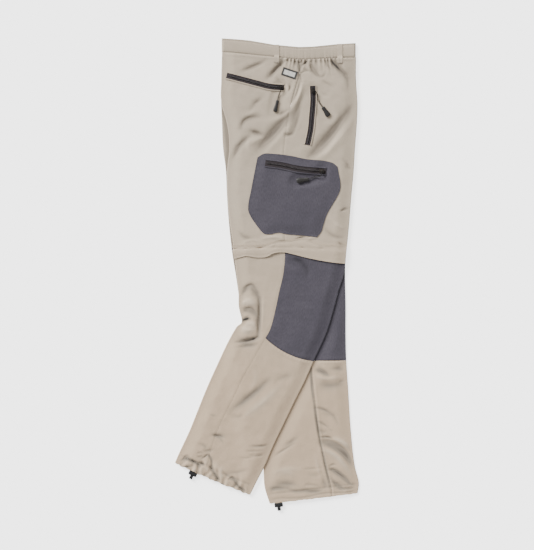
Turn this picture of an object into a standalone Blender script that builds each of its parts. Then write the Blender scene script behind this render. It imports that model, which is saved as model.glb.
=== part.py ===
"""Convertible zip-off trousers, folded at centre front and centre back and laid on their side.

The right leg lies on the left leg. The front is at +X, the back at -X, the waist at +Y, and the
floor is z = 0. Each leg is a tube of cloth laid flat: its front and back panels wrap round the
front and back folds and meet at the outseam and the inseam. Sizes in the tables are millimetres:
x across from the middle, and down from the back corner of the waist. place() turns them to metres.
"""

import math

import bmesh
import bpy
import numpy as np
from mathutils import Matrix, Vector
from mathutils.bvhtree import BVHTree

MM = 0.001
MIDDLE_DOWN = 545.0  # the middle of the laid length, so that the origin is under it
WALL = 1.5  # the cloth's thickness
BAND_WALL = 2.2  # the waistband has several layers
TRIM_WALL = 1.2  # flap, belt loops and pocket
TAPE_WALL = 0.9  # zip tapes and the label
GAP = 0.3  # between pieces at a seam, and between one leg and the other
HOLLOW = 0.6  # between the two layers of one leg
LEG = 2 * WALL + HOLLOW  # a leg laid flat
STACK = 2 * LEG + GAP  # both legs
LOFT = 3.0  # how far loose cloth stands up from what it covers
LOFT_EDGE = 30.0  # it falls to nothing over this distance from a folded edge
CELL = 19.0  # the spacing of the cloth's points
GATHER_CELLS = 3  # points to a cell where the cloth is gathered
CROTCH_DOWN = 292.0
RISE_DOWN = 154.0  # where the seat and fly seams leave the folded edges
ALLOWANCE = 9.0  # the seam allowance turned in along those seams
DROP_START = 22.0  # the right leg starts to come down this far past the left leg
DROP_RUN = 42.0  # and is on the floor this much further on
CLEAR_START = 28.0  # the left leg stays flat this far out from under the right one

STATION = "back_x back_down seam_x seam_down front_x front_down bow inseam".split()

# One row for each place down the right leg: back fold, outseam, front fold, how far the line
# across the front sags, and the inseam as a share of the way from the back fold to the front one.
RIGHT_LEG = (
    (-103.5, 31, 77, 49.5, 205.2, 43.7, 0, 0.60),
    (-104.7, 85, 74.5, 83, 205.2, 94, 0, 0.60),
    (-105, 149.5, 56.4, 148.5, 208.6, 152, 0, 0.60),
    (-93.8, 189, 48.3, 184, 207.9, 184, 0, 0.60),
    (-87, 258, 38, 262, 202.4, 262, 0, 0.60),
    (-91.3, 299, 35.7, 304, 200, 304, 0, 0.60),
    (-91.3, 363, 34.5, 368, 194.4, 366, 0, 0.60),
    (-85.6, 423, 37.3, 428, 189.3, 430, 0, 0.60),
    (-76.8, 482, 41.4, 478.5, 184, 483, 0, 0.60),
    (-76, 488, 41.6, 484.5, 183.3, 489, 0, 0.60),
    (-70, 545, 37, 545, 176.6, 545, 0, 0.60),
    (-65.8, 582, 28.3, 582, 165, 582, 0, 0.60),
    (-65.3, 616, 21.2, 616.5, 154.6, 621, 1, 0.61),
    (-58.4, 652, 8.7, 666, 137, 678.5, 4, 0.61),
    (-71.3, 666, -3.7, 690, 107.2, 744, 10, 0.62),
    (-88.8, 697, -27.6, 731.5, 89.7, 784, 6, 0.62),
    (-114, 750, -53, 776, 65.6, 832.5, 0, 0.63),
    (-139.6, 807, -80.3, 833, 38.4, 889, 0, 0.64),
    (-159.2, 855.5, -103.7, 879, 15.4, 937, 0, 0.65),
    (-178.7, 904, -123.5, 927, -5.1, 984.5, 0, 0.66),
    (-203, 956, -137, 980, -28.5, 1030.5, 0, 0.67),
    (-212.8, 978, -145, 1009, -39, 1052, 0, 0.68),
)
# The same for the left leg, which lies under the right one with its inner side up.
LEFT_LEG = (
    (-104, 32, 76, 50, 204.2, 45, 0, 0.60),
    (-105.8, 96.5, 73, 96.5, 203.6, 96.5, 0, 0.60),
    (-106, 149.5, 56, 150, 206, 152, 0, 0.60),
    (-104.4, 188.5, 46, 188.5, 205.6, 188.5, 0, 0.60),
    (-101, 257.5, 37, 260, 200, 262, 0, 0.60),
    (-95.5, 299, 34, 301, 197.8, 303.5, 0, 0.60),
    (-92.5, 363.5, 33, 365, 191.8, 366, 0, 0.60),
    (-88.3, 423, 35, 426, 186.8, 430, 0, 0.60),
    (-82, 482, 36, 482.5, 181.7, 483, 0, 0.60),
    (-81.3, 488, 36, 488.5, 181.5, 489, 0, 0.60),
    (-72.2, 545, 38, 545, 180.3, 545, 0, 0.61),
    (-62, 616.5, 40, 616.5, 181.7, 616.5, 0, 0.62),
    (-55.2, 671.5, 42, 675, 181.7, 678.5, 0, 0.63),
    (-45, 745, 45, 743.5, 183, 742, 0, 0.635),
    (-34.5, 821, 50, 817.5, 187.7, 814, 0, 0.645),
    (-23, 901.5, 59, 901.5, 193.2, 901.5, 0, 0.655),
    (-8.3, 989, 72, 989, 203.3, 989, 0, 0.68),
    (-5, 1037, 77, 1033, 212, 1026, 0, 0.70),
    (6, 1072, 84, 1063, 209, 1048, 0, 0.71),
)
# Which rows above carry a seam.
RIGHT_SEAMS = {"waist": 0, "zip_top": 8, "zip_bottom": 9, "knee": 14, "hem": 21}
LEFT_SEAMS = {"waist": 0, "zip_top": 8, "zip_bottom": 9, "knee": 13, "hem": 18}

# The largest troughs and ridges: x and down of three places on a curve, reach to each side, height.
RIGHT_FOLDS = (
    (-51, 74, -30, 65, -10, 58, 7, -1.3),
    (1, 94, 17, 76, 35, 59, 8, -2.2),
    (147, 51, 162, 66, 187, 94, 8, -2.2),
    (99, 58, 108, 72, 121, 88, 7, -1.6),
    (-58, 205, -45, 187, -14, 182, 9, -1.4),
    (-34, 216, -24, 219, -14, 222, 8, -1.8),
    (-40, 225, -66, 251, -84, 290, 9, -1.8),
    (55, 172, 17, 219, -20, 254, 14, -2.4),
    (88, 123, 68, 170, 55, 221, 9, -1.8),
    (84, 96, 58, 160, 10, 190, 10, 1.4),
    (189, 163, 144, 229, 97, 272, 15, -2.4),
    (176, 200, 150, 250, 130, 272, 12, 1.2),
    (180, 293, 190, 299, 198, 305, 7, -1.4),
    (-38, 572, -50, 579, -61, 591, 8, -1.8),
    (-38, 572, -28, 585, -17, 601, 8, -1.6),
    (-60, 606, -44, 610, -28, 612, 9, 2.0),
    (-63, 626, -40, 628, -27, 638, 8, -2.2),
    (-56, 650, -48, 645, -40, 646, 7, -2.6),
    (-15, 601, -19, 654, -20, 683, 8, -2.2),
    (-58, 668, -46, 672, -30, 672, 10, 2.2),
    (-23, 689, -44, 696, -63, 692, 8, -2.2),
    (4, 787, -37, 823, -79, 855, 11, -2.2),
    (30, 800, -10, 838, -50, 868, 12, 1.2),
    (-123, 914, -110, 916, -97, 918, 8, -1.4),
)
LEFT_FOLDS = (
    (131, 934, 174, 955, 205, 996, 10, -2.4),
    (150, 922, 180, 938, 200, 960, 9, 1.4),
    (107, 759, 125, 766, 143, 777, 8, -1.6),
    (147, 992, 167, 1005, 187, 1020, 8, -2.0),
    (40, 940, 55, 930, 70, 920, 7, -1.2),
    (20, 1028, 45, 1026, 70, 1030, 10, -1.6),
)

# Gathers under the elastic: how far across, how far down the cloth they run, and how deep.
WAIST_GATHERS = (
    (36, 30, 1.6),
    (52, 22, 1.4),
    (66, 30, 1.8),
    (80, 16, 1.2),
    (91, 22, 1.6),
    (111, 30, 1.8),
    (123, 18, 1.4),
    (137, 26, 1.6),
    (151, 30, 1.8),
    (165, 16, 1.4),
)
# Gathers of the drawn hem of the right leg, as shares of the way from the back to the front.
HEM_GATHERS = (
    (0.10, 30, 1.2),
    (0.20, 36, 1.6),
    (0.31, 52, 1.8),
    (0.42, 40, 1.6),
    (0.54, 48, 1.8),
    (0.66, 34, 1.5),
    (0.78, 44, 1.8),
    (0.89, 28, 1.2),
)
WAIST_GATHER_REACH = 4.5
HEM_GATHER_REACH = 4.5

# The waistband's top edge, at places across. Its seam is each leg's first row.
BAND_TOP = ((-104.5, 0), (-72, 2), (-40, 5), (18, 15), (74, 20), (105, 19), (161, 13.5), (204.5, 11))

# Zip-off flap: its sewn top edge and its free lower edge.
FLAP_TOP = ((-80, 477), (-50, 476), (-10, 477), (20, 468), (45, 466), (85, 460), (120, 473), (184, 475))
FLAP_EDGE = (
    (-76, 508), (-64, 505), (-53, 502), (-20, 505), (0, 503), (13, 496), (39, 493),
    (58, 497), (94, 506), (130, 513), (156, 517), (179.5, 519),
)

# Cargo pocket: its four sides, each from the back or from the top.
POCKET_TOP = (
    (-21.9, 274.9), (-10.4, 267.5), (18.4, 266.8), (52.9, 270.9), (91.3, 278.8), (137.3, 283.6),
    (152.5, 288.2), (162.2, 296),
)
POCKET_BOTTOM = (
    (-14.3, 443.4), (-6.4, 450.1), (6.9, 451.3), (26, 447.8), (45.3, 451.3), (75.9, 453.8),
    (106.5, 457), (114.3, 458.2),
)
POCKET_BACK = (
    (-21.9, 274.9), (-25.8, 293.9), (-31.5, 322.7), (-37.3, 353.5), (-43, 384.1), (-43, 397.4),
    (-37.3, 411), (-25.8, 428.3), (-14.3, 443.4),
)
POCKET_FRONT = (
    (162.2, 296), (164.9, 311.2), (167.9, 326.6), (167.9, 349.6), (160.3, 366.9), (148.8, 385.9),
    (137.3, 407.1), (129.5, 430.1), (124.9, 445.5), (114.3, 458.2),
)
POCKET_PUFF = 2.0

# Zips: the middle of the tape, its width, where the slider sits, and the pull's cord and grip.
ZIPS = {
    "back": {
        "line": ((-93, 86), (-59, 95), (-21, 105), (7, 112), (39, 114)),
        "width": 13.0,
        "slider": (32, 113.8),
        "cord": ((30.5, 124), (26.5, 134), (24.5, 143)),
        "grip": ((24.5, 143), (18, 170)),
        "grip_width": 9.5,
    },
    "hand": {
        "line": ((105, 110), (106, 143), (103, 182), (100.5, 209), (93, 246)),
        "width": 13.0,
        "slider": (105.4, 122),
        "cord": ((115, 128), (119, 146), (128, 159)),
        "grip": ((128, 159), (142.4, 180)),
        "grip_width": 12.0,
    },
    "cargo": {
        "line": ((-4, 288), (33, 293), (70, 301), (136, 307)),
        "width": 14.0,
        "slider": (126, 306.1),
        "cord": ((124, 316), (109, 320), (96, 325)),
        "grip": ((96, 325), (68, 329)),
        "grip_width": 11.5,
    },
}
SLIDER_LENGTH = 11.0
SLIDER_WIDTH = 8.0
SLIDER_PLATE = 2.0
BAR_RADIUS = 0.6  # the slider's bridge, which the pull's cord goes round
BAR_SPAN = 6.0
STRAND_RADIUS = 0.6  # the pull's cord, doubled
STRAND_APART = 1.8
LOOP_RADIUS = BAR_RADIUS + STRAND_RADIUS + GAP
BAR_HEIGHT = LOOP_RADIUS + STRAND_RADIUS + GAP  # the bar's middle above the slider's plate
GRIP_THICK = 3.6
GRIP_NECK = 5.0

BELT_LOOPS = {"loop_side": (22.0, 15.0, 57.0), "loop_front": (167.5, 13.0, 58.5)}
BELT_LOOP_WIDTH = 11.5
LABEL = {"x": 51.5, "down": 81.5, "width": 35.0, "height": 19.0, "turn": 18.2}

# Cord locks: where the barrel lies against the hem, and how the two pieces are turned.
LOCKS = {
    "right": {"x": -171.0, "down": 1002.9, "turn": -24.6},
    "left": {"x": 27.0, "down": 1074.9, "turn": 6.6},
}
BARREL = (20.0, 10.0, 7.0)
BUTTON = (8.0, 8.0, 5.6)

COLOURS = {
    "cloth": (0.50, 0.44, 0.37, 0.85),
    "grey_cloth": (0.12, 0.115, 0.135, 0.9),
    "zip_tape": (0.05, 0.04, 0.045, 0.8),
    "zip_metal": (0.06, 0.055, 0.05, 0.35),
    "pull": (0.025, 0.02, 0.018, 0.6),
    "label": (0.4, 0.4, 0.38, 0.7),
    "lock": (0.012, 0.012, 0.013, 0.45),
}


def clear_scene():
    for thing in list(bpy.data.objects):
        bpy.data.objects.remove(thing, do_unlink=True)


def material(name):
    found = bpy.data.materials.get(name)
    if found:
        return found
    made = bpy.data.materials.new(name)
    made.use_nodes = True
    shader = made.node_tree.nodes["Principled BSDF"]
    red, green, blue, rough = COLOURS[name]
    shader.inputs["Base Color"].default_value = (red, green, blue, 1)
    shader.inputs["Roughness"].default_value = rough
    shader.inputs["Metallic"].default_value = 0.6 if name == "zip_metal" else 0.0
    return made


def ease(share):
    share = np.clip(share, 0, 1)
    return share * share * (3 - 2 * share)


def curve(points, count):
    """count points evenly spaced along a smooth line through the points."""
    points = np.array(points, float)
    along = np.concatenate([[0], np.cumsum(np.linalg.norm(np.diff(points, axis=0), axis=1))])
    return smooth(along, points, np.linspace(0, along[-1], count))


def smooth(along, values, wanted):
    """A cubic curve through the values, with slopes taken from their neighbours."""
    slope = np.gradient(values, along, axis=0)
    k = np.clip(np.searchsorted(along, wanted, "right") - 1, 0, len(along) - 2)
    step = (along[k + 1] - along[k])[:, None]
    t = (np.asarray(wanted) - along[k])[:, None] / step
    start = (1 + 2 * t) * (1 - t) ** 2 * values[k] + t * (1 - t) ** 2 * step * slope[k]
    end = t * t * (3 - 2 * t) * values[k + 1] - t * t * (1 - t) * step * slope[k + 1]
    return start + end


def height_at(line, x):
    """How far down an edge lies at x."""
    line = np.array(line, float)
    return np.interp(x, line[:, 0], line[:, 1])


def finish(name, mesh, slot):
    thing = bpy.data.objects.new(name, mesh)
    bpy.context.collection.objects.link(thing)
    mesh.materials.append(material(slot))
    mesh.shade_smooth()
    mesh.set_sharp_from_angle(angle=math.radians(40))
    return thing


def place(points):
    """Millimetres across, down and up, turned to metres in the part's frame."""
    points = np.asarray(points, float)
    return np.column_stack([points[:, 0], MIDDLE_DOWN - points[:, 1], points[:, 2]]) * MM


def solid(name, points, faces, slot):
    """One closed mesh from points in millimetres."""
    bm = bmesh.new()
    verts = [bm.verts.new(p) for p in place(points)]
    for face in faces:
        bm.faces.new([verts[i] for i in face])
    bmesh.ops.triangulate(bm, faces=bm.faces[:])
    bmesh.ops.recalc_face_normals(bm, faces=bm.faces[:])
    mesh = bpy.data.meshes.new(name)
    bm.to_mesh(mesh)
    bm.free()
    return finish(name, mesh, slot)


def wall(name, rows, slot):
    """A wall from rows of (keys, outer points, inner points).

    A row may have more keys than its neighbour, which then has all the coarser row's keys.
    """
    points, outer, inner = [], [], []
    for keys, outside, inside in rows:
        outer.append(list(range(len(points), len(points) + len(keys))))
        points += list(outside)
        inner.append(list(range(len(points), len(points) + len(keys))))
        points += list(inside)
    faces = []
    for i in range(len(rows) - 1):
        first, second = rows[i][0], rows[i + 1][0]
        coarse = first if len(first) <= len(second) else second
        for low, high in zip(coarse[:-1], coarse[1:]):
            top = [k for k, key in enumerate(first) if low <= key <= high]
            under = [k for k, key in enumerate(second) if low <= key <= high]
            for grid, turn in ((outer, 1), (inner, -1)):
                face = [grid[i][k] for k in top] + [grid[i + 1][k] for k in reversed(under)]
                faces.append(face[::turn])
        for k, step in ((0, 1), (-1, -1)):
            faces.append([outer[i][k], outer[i + 1][k], inner[i + 1][k], inner[i][k]][::step])
    for i in (0, -1):
        for k in range(len(outer[i]) - 1):
            faces.append([outer[i][k], outer[i][k + 1], inner[i][k + 1], inner[i][k]])
    return solid(name, points, faces, slot)


class Leg:
    """One leg laid flat: its lines at any distance along it, and its height."""

    def __init__(self, stations, seams, outer_up, folds):
        self.table = np.array(stations, float)
        middle = (self.table[:, 0:2] + self.table[:, 4:6]) / 2
        self.along = np.concatenate([[0], np.cumsum(np.linalg.norm(np.diff(middle, axis=0), axis=1))])
        self.seams = {name: self.along[row] for name, row in seams.items()}
        self.outer_up = outer_up
        self.folds = np.array(folds, float)

    def lines(self, wanted):
        return dict(zip(STATION, smooth(self.along, self.table, np.atleast_1d(wanted)).T))

    def steps(self, start, end, cell):
        first, last = self.seams[start], self.seams[end]
        return np.linspace(first, last, 1 + max(1, round((last - first) / cell)))


RIGHT = Leg(RIGHT_LEG, RIGHT_SEAMS, True, RIGHT_FOLDS)
LEFT = Leg(LEFT_LEG, LEFT_SEAMS, False, LEFT_FOLDS)


def curve_distance(points, fold):
    """Distance to a bent line through three places, and how far along it, from 0 to 1."""
    t = np.linspace(0, 1, 13)[:, None]
    start, middle, end = fold[0:2], fold[2:4], fold[4:6]
    bend = 2 * middle - (start + end) / 2
    line = (1 - t) ** 2 * start + 2 * t * (1 - t) * bend + t * t * end
    best = np.full(len(points), 1e9)
    share = np.zeros(len(points))
    for k in range(len(line) - 1):
        step = line[k + 1] - line[k]
        s = np.clip((points - line[k]) @ step / (step @ step), 0, 1)
        away = np.linalg.norm(points - line[k] - s[:, None] * step, axis=1)
        near = away < best
        best[near] = away[near]
        share[near] = (k + s[near]) / (len(line) - 1)
    return best, share


def fold_relief(points, folds):
    total = np.zeros(len(points))
    for fold in folds:
        away, share = curve_distance(points, fold)
        fade = 0.35 + 0.65 * np.sin(np.pi * share)
        total += fold[7] * fade * np.exp(-((away / fold[6]) ** 2))
    return total


def waist_seam(leg):
    """The line where a leg meets the waistband, from the back fold to the front one."""
    return [leg.table[0, k : k + 2] for k in (0, 2, 4)]


def waist_relief(points, leg):
    below = points[:, 1] - height_at(waist_seam(leg), points[:, 0])
    total = np.zeros(len(points))
    for along, length, depth in WAIST_GATHERS:
        off = points[:, 0] - along - (along - 100) * 0.12 * below / 30
        total -= depth * np.exp(-((off / WAIST_GATHER_REACH) ** 2)) * (1 - ease(below / length))
    return total


def hem_relief(points, leg):
    """Gathers that run up from a drawn hem."""
    row = leg.table[-1]
    back, front = row[0:2], row[4:6]
    width = np.linalg.norm(front - back)
    across = (front - back) / width
    up = np.array([across[1], -across[0]])
    total = np.zeros(len(points))
    for share, length, depth in HEM_GATHERS:
        off = (points - back) @ across - share * width
        height = np.abs((points - back) @ up)
        total -= depth * np.exp(-((off / HEM_GATHER_REACH) ** 2)) * (1 - ease(height / length))
    return total


def left_back_edge(down):
    return np.interp(down, LEFT.table[:, 1], LEFT.table[:, 0])


def right_front_edge(down):
    return np.interp(down, RIGHT.table[:, 5], RIGHT.table[:, 4])


def base(points, leg):
    """The height of a leg's underside: the right leg lies on the left one, then on the floor."""
    if leg is LEFT:
        return np.zeros(len(points))
    past = left_back_edge(points[:, 1]) - points[:, 0]
    return (LEG + GAP) * (1 - ease((past - DROP_START) / DROP_RUN))


def relief(points, leg, from_edge):
    """How far a leg's upper side stands up above its flat height."""
    loose = LOFT * ease(from_edge / LOFT_EDGE)
    total = fold_relief(points, leg.folds)
    if leg is RIGHT:
        total += waist_relief(points, leg) + hem_relief(points, leg)
        fade = ease(from_edge / (LOFT_EDGE * 0.7))
    else:
        clear = points[:, 0] - right_front_edge(points[:, 1]) - CLEAR_START
        loose = loose * 0.7 * ease(clear / LOFT_EDGE)
        fade = ease(clear / LOFT_EDGE * 1.5) * ease(from_edge / (LOFT_EDGE * 0.7))
    return np.maximum(loose + total * fade, 0)


def panel_keys(outer, inner, fold):
    """Keys of a row: 0 to 1 on the outer side, 1 to 2 round the fold, 2 to 3 on the inner side."""
    parts = [np.linspace(k, k + 1, count + 1) for k, count in enumerate((outer, fold, inner))]
    return np.concatenate([parts[0][:-1], parts[1][:-1], parts[2]])


def refined(keys):
    """The same keys with more of them on the outer side."""
    fine = []
    for low, high in zip(keys[:-1], keys[1:]):
        count = GATHER_CELLS if high <= 1 else 1
        fine += list(low + (high - low) * np.arange(count) / count)
    return np.array(fine + [keys[-1]])


def section(leg, side, along, keys, shift):
    """Outside and inside points of a panel across the leg at one place along it."""
    lines = {name: value[0] for name, value in leg.lines(along).items()}
    back = np.array([lines["back_x"], lines["back_down"]])
    front = np.array([lines["front_x"], lines["front_down"]])
    seam = np.array([lines["seam_x"], lines["seam_down"]])
    inseam = back + (front - back) * lines["inseam"]
    edge = front if side == "front" else back
    out = (edge - seam) / np.linalg.norm(edge - seam)
    middle = edge - out * LEG / 2
    rise = ease((edge[1] - RISE_DOWN) / (CROTCH_DOWN - RISE_DOWN)) ** 1.5
    inner_end = middle - out * ALLOWANCE
    inner_end = inner_end + (inseam + out * GAP / 2 - inner_end) * rise
    outer_start = seam + out * GAP / 2
    down_leg = np.array([-out[1], out[0]]) * (1 if side == "front" else -1)
    sides = []
    for radius in (LEG / 2, LEG / 2 - WALL):
        plan, level = [], []
        for key in keys:
            if key <= 1:
                bow = lines["bow"] * 4 * key * (1 - key) if side == "front" else 0
                plan.append(outer_start + (middle - outer_start) * key + down_leg * bow)
                level.append(1.0)
            elif key < 2:
                turn = (key - 1) * math.pi
                plan.append(middle + out * radius * math.sin(turn))
                level.append(math.cos(turn))
            else:
                plan.append(middle + (inner_end - middle) * (key - 2))
                level.append(-1.0)
        plan, level = np.array(plan) + down_leg * shift, np.array(level)
        level = level if leg.outer_up else -level
        from_edge = np.maximum(0, (edge - plan) @ out - LEG / 2)
        lift = relief(plan, leg, from_edge) * (level > 0.5)
        height = base(plan, leg) + LEG / 2 + level * radius + lift
        sides.append(np.column_stack([plan, height]))
    return sides


def panel(name, leg, side, start, end, columns, cell, slot, gathered=()):
    """A panel from one seam to another down the leg. gathered names its gathered ends."""
    steps = leg.steps(start, end, cell)
    keys = panel_keys(*columns)
    if "top" in gathered:
        steps = np.concatenate([np.linspace(steps[0], steps[2], 5), steps[3:]])
    if "bottom" in gathered:
        steps = np.concatenate([steps[:-4], np.linspace(steps[-4], steps[-1], 6)])
    rows = []
    for k, along in enumerate(steps):
        fine = "top" in gathered and k <= 4 or "bottom" in gathered and k >= len(steps) - 6
        row_keys = refined(keys) if fine else keys
        shift = GAP / 2 * ((k == 0) - (k == len(steps) - 1))
        rows.append((row_keys, *section(leg, side, along, row_keys, shift)))
    return wall(name, rows, slot)


def zip_ring(name, leg):
    """The zip-off zip: a narrow band all round the leg between the thigh and the lower leg."""
    rows = []
    for along, shift in ((leg.seams["zip_top"], GAP / 2), (leg.seams["zip_bottom"], -GAP / 2)):
        front = section(leg, "front", along, panel_keys(5, 3, 2), shift)
        back = section(leg, "back", along, panel_keys(5, 3, 2), shift)
        points = [np.concatenate([b[:0:-1], f]) for b, f in zip(back, front)]
        rows.append((np.arange(len(points[0])), *points))
    return wall(name, rows, "zip_tape")


def band(name, leg):
    """Half of the waistband, from centre back to centre front, its ends turned to meet the other half."""
    turn = np.radians([86, 55, 25])
    middle = STACK / 2
    rows = []
    for height in np.linspace(0, 1, 4):
        sides = []
        for wall_in in (0, BAND_WALL):
            radius = middle - wall_in
            x_back, x_front = -104.5, 204.8 - 0.4 * height
            xs = [x_back + middle - radius * math.sin(a) for a in turn]
            zs = [radius * math.cos(a) for a in turn]
            flat = np.linspace(x_back + middle, x_front - middle, 21)
            xs += list(flat) + [x_front - middle + radius * math.sin(a) for a in turn[::-1]]
            zs += [radius] * len(flat) + [radius * math.cos(a) for a in turn[::-1]]
            xs, zs = np.array(xs), np.array(zs)
            seam = height_at(waist_seam(leg), xs) - GAP
            down = seam + (height_at(BAND_TOP, xs) - seam) * height
            swell = 0.5 * math.sin(math.pi * height) * (zs == radius)
            z = middle + zs + swell if leg is RIGHT else middle - zs
            sides.append(np.column_stack([xs, down, z]))
        rows.append((np.arange(len(sides[0])), *sides))
    return wall(name, rows, "cloth")


class Surface:
    """The highest cloth under a place, for what is laid on it."""

    def __init__(self, things):
        self.trees = []
        for thing in things:
            self.add(thing)

    def add(self, thing):
        mesh = thing.data
        points = [v.co.copy() for v in mesh.vertices]
        self.trees.append(BVHTree.FromPolygons(points, [list(p.vertices) for p in mesh.polygons]))

    def top(self, x, down, around=0.0):
        """The highest point, in millimetres, within a distance of the place."""
        best = 0.0
        spots = [(0, 0)]
        if around:
            spots += [
                (r * math.cos(a), r * math.sin(a))
                for r in (around * 0.4, around * 0.75, around)
                for a in np.linspace(0, 2 * math.pi, 13)[:-1]
            ]
        for dx, dd in spots:
            start = Vector(((x + dx) * MM, (MIDDLE_DOWN - down - dd) * MM, 0.2))
            for tree in self.trees:
                hit = tree.ray_cast(start, Vector((0, 0, -1)))[0]
                if hit:
                    best = max(best, hit.z / MM)
        return best


def laid(name, grid, surface, thick, slot, puff=0.0):
    """A thin piece laid on the cloth. grid has rows of (x, down); puff swells its middle."""
    rows = []
    count = len(grid)
    spots = np.array(grid)
    around = max(
        np.linalg.norm(spots[1:, 1:] - spots[:-1, :-1], axis=2).max(),
        np.linalg.norm(spots[1:, :-1] - spots[:-1, 1:], axis=2).max(),
    )
    for i, line in enumerate(grid):
        low = np.array([surface.top(x, d, around) + GAP for x, d in line])
        j = np.linspace(0, 1, len(line))
        down_swell = math.sqrt(max(0, math.sin(math.pi * i / (count - 1))))
        swell = puff * np.sqrt(np.sin(np.pi * j).clip(0)) * down_swell
        plan = np.array(line)
        top = np.column_stack([plan, low + thick + swell])
        under = np.column_stack([plan, low])
        rows.append((np.arange(len(line)), top, under))
    thing = wall(name, rows, slot)
    surface.add(thing)
    return thing


def ribbon(line, width, count, across):
    """Rows of (x, down) along a line, with across points over the width."""
    middle = curve(line, count)
    run = np.gradient(middle, axis=0)
    run /= np.linalg.norm(run, axis=1)[:, None]
    side = np.column_stack([-run[:, 1], run[:, 0]])
    return [[m + s * width * t for t in np.linspace(-0.5, 0.5, across)] for m, s in zip(middle, side)]


def patch(top, bottom, back, front, rows, columns):
    """A grid fitted between four sides."""
    up, low = curve(top, columns), curve(bottom, columns)
    left, right = curve(back, rows), curve(front, rows)
    grid = []
    for i, v in enumerate(np.linspace(0, 1, rows)):
        line = []
        for j, u in enumerate(np.linspace(0, 1, columns)):
            sides = (1 - v) * up[j] + v * low[j] + (1 - u) * left[i] + u * right[i]
            corners = (1 - v) * ((1 - u) * up[0] + u * up[-1]) + v * ((1 - u) * low[0] + u * low[-1])
            line.append(sides - corners)
        grid.append(line)
    return grid


def box(name, size, centre, turn, slot, bevel):
    """A block with rounded edges, its place in its mesh. centre is (x, down, up)."""
    bm = bmesh.new()
    bmesh.ops.create_cube(bm, size=1)
    bmesh.ops.scale(bm, vec=Vector(size) * MM, verts=bm.verts)
    bmesh.ops.bevel(bm, geom=bm.edges[:], offset=bevel * MM, segments=2, profile=0.5, affect="EDGES")
    spot = place([centre])[0]
    bm.transform(Matrix.Translation(Vector(spot)) @ Matrix.Rotation(math.radians(turn), 4, "Z"))
    mesh = bpy.data.meshes.new(name)
    bm.to_mesh(mesh)
    bm.free()
    return finish(name, mesh, slot)


def tube(name, points, radius, slot):
    """A round bar or cord along points in millimetres."""
    data = bpy.data.curves.new(name, "CURVE")
    data.dimensions = "3D"
    data.bevel_depth = radius * MM
    data.bevel_resolution = 1
    data.use_fill_caps = True
    spline = data.splines.new("POLY")
    spots = place(points)
    spline.points.add(len(spots) - 1)
    for spot, target in zip(spots, spline.points):
        target.co = (*spot, 1)
    thing = bpy.data.objects.new(name, data)
    bpy.context.collection.objects.link(thing)
    data.materials.append(material(slot))
    return thing


def slider(kind, surface):
    """The zip's slider with its bridge. Returns the middle of the bridge's bar and its direction."""
    zipper = ZIPS[kind]
    x, down = zipper["slider"]
    line = curve(zipper["line"], 60)
    near = int(np.argmin(np.linalg.norm(line - (x, down), axis=1)))
    near = min(max(near, 1), len(line) - 2)
    run = line[near + 1] - line[near - 1]
    run /= np.linalg.norm(run)
    turn = -math.degrees(math.atan2(run[1], run[0]))
    floor = surface.top(x, down, SLIDER_WIDTH / 2) + GAP
    middle = floor + SLIDER_PLATE / 2
    size = (SLIDER_LENGTH, SLIDER_WIDTH, SLIDER_PLATE)
    plate = box(f"{kind}_slider", size, (x, down, middle), turn, "zip_metal", 0.5)
    bar = floor + SLIDER_PLATE + BAR_HEIGHT
    half = BAR_SPAN / 2
    corner = 1.0
    foot = floor + SLIDER_PLATE - 0.8
    shape = [(-half, foot), (-half, bar - corner), (-half + corner, bar)]
    shape += [(half - corner, bar), (half, bar - corner), (half, foot)]
    points = [(x + run[0] * s, down + run[1] * s, z) for s, z in shape]
    bridge = tube(f"{kind}_bridge_shape", points, BAR_RADIUS, "zip_metal")
    bridge.hide_render = True
    bridge.display_type = "WIRE"
    bridge_mesh = bridge.to_mesh().copy()
    arch = bpy.data.objects.new(f"{kind}_bridge", bridge_mesh)
    bpy.context.collection.objects.link(arch)
    bpy.data.objects.remove(bridge, do_unlink=True)
    arch.hide_render = True
    arch.display_type = "WIRE"
    join = plate.modifiers.new("bridge", "BOOLEAN")
    join.operation = "UNION"
    join.object = arch
    surface.add(plate)
    return np.array([x, down, bar]), run


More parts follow.
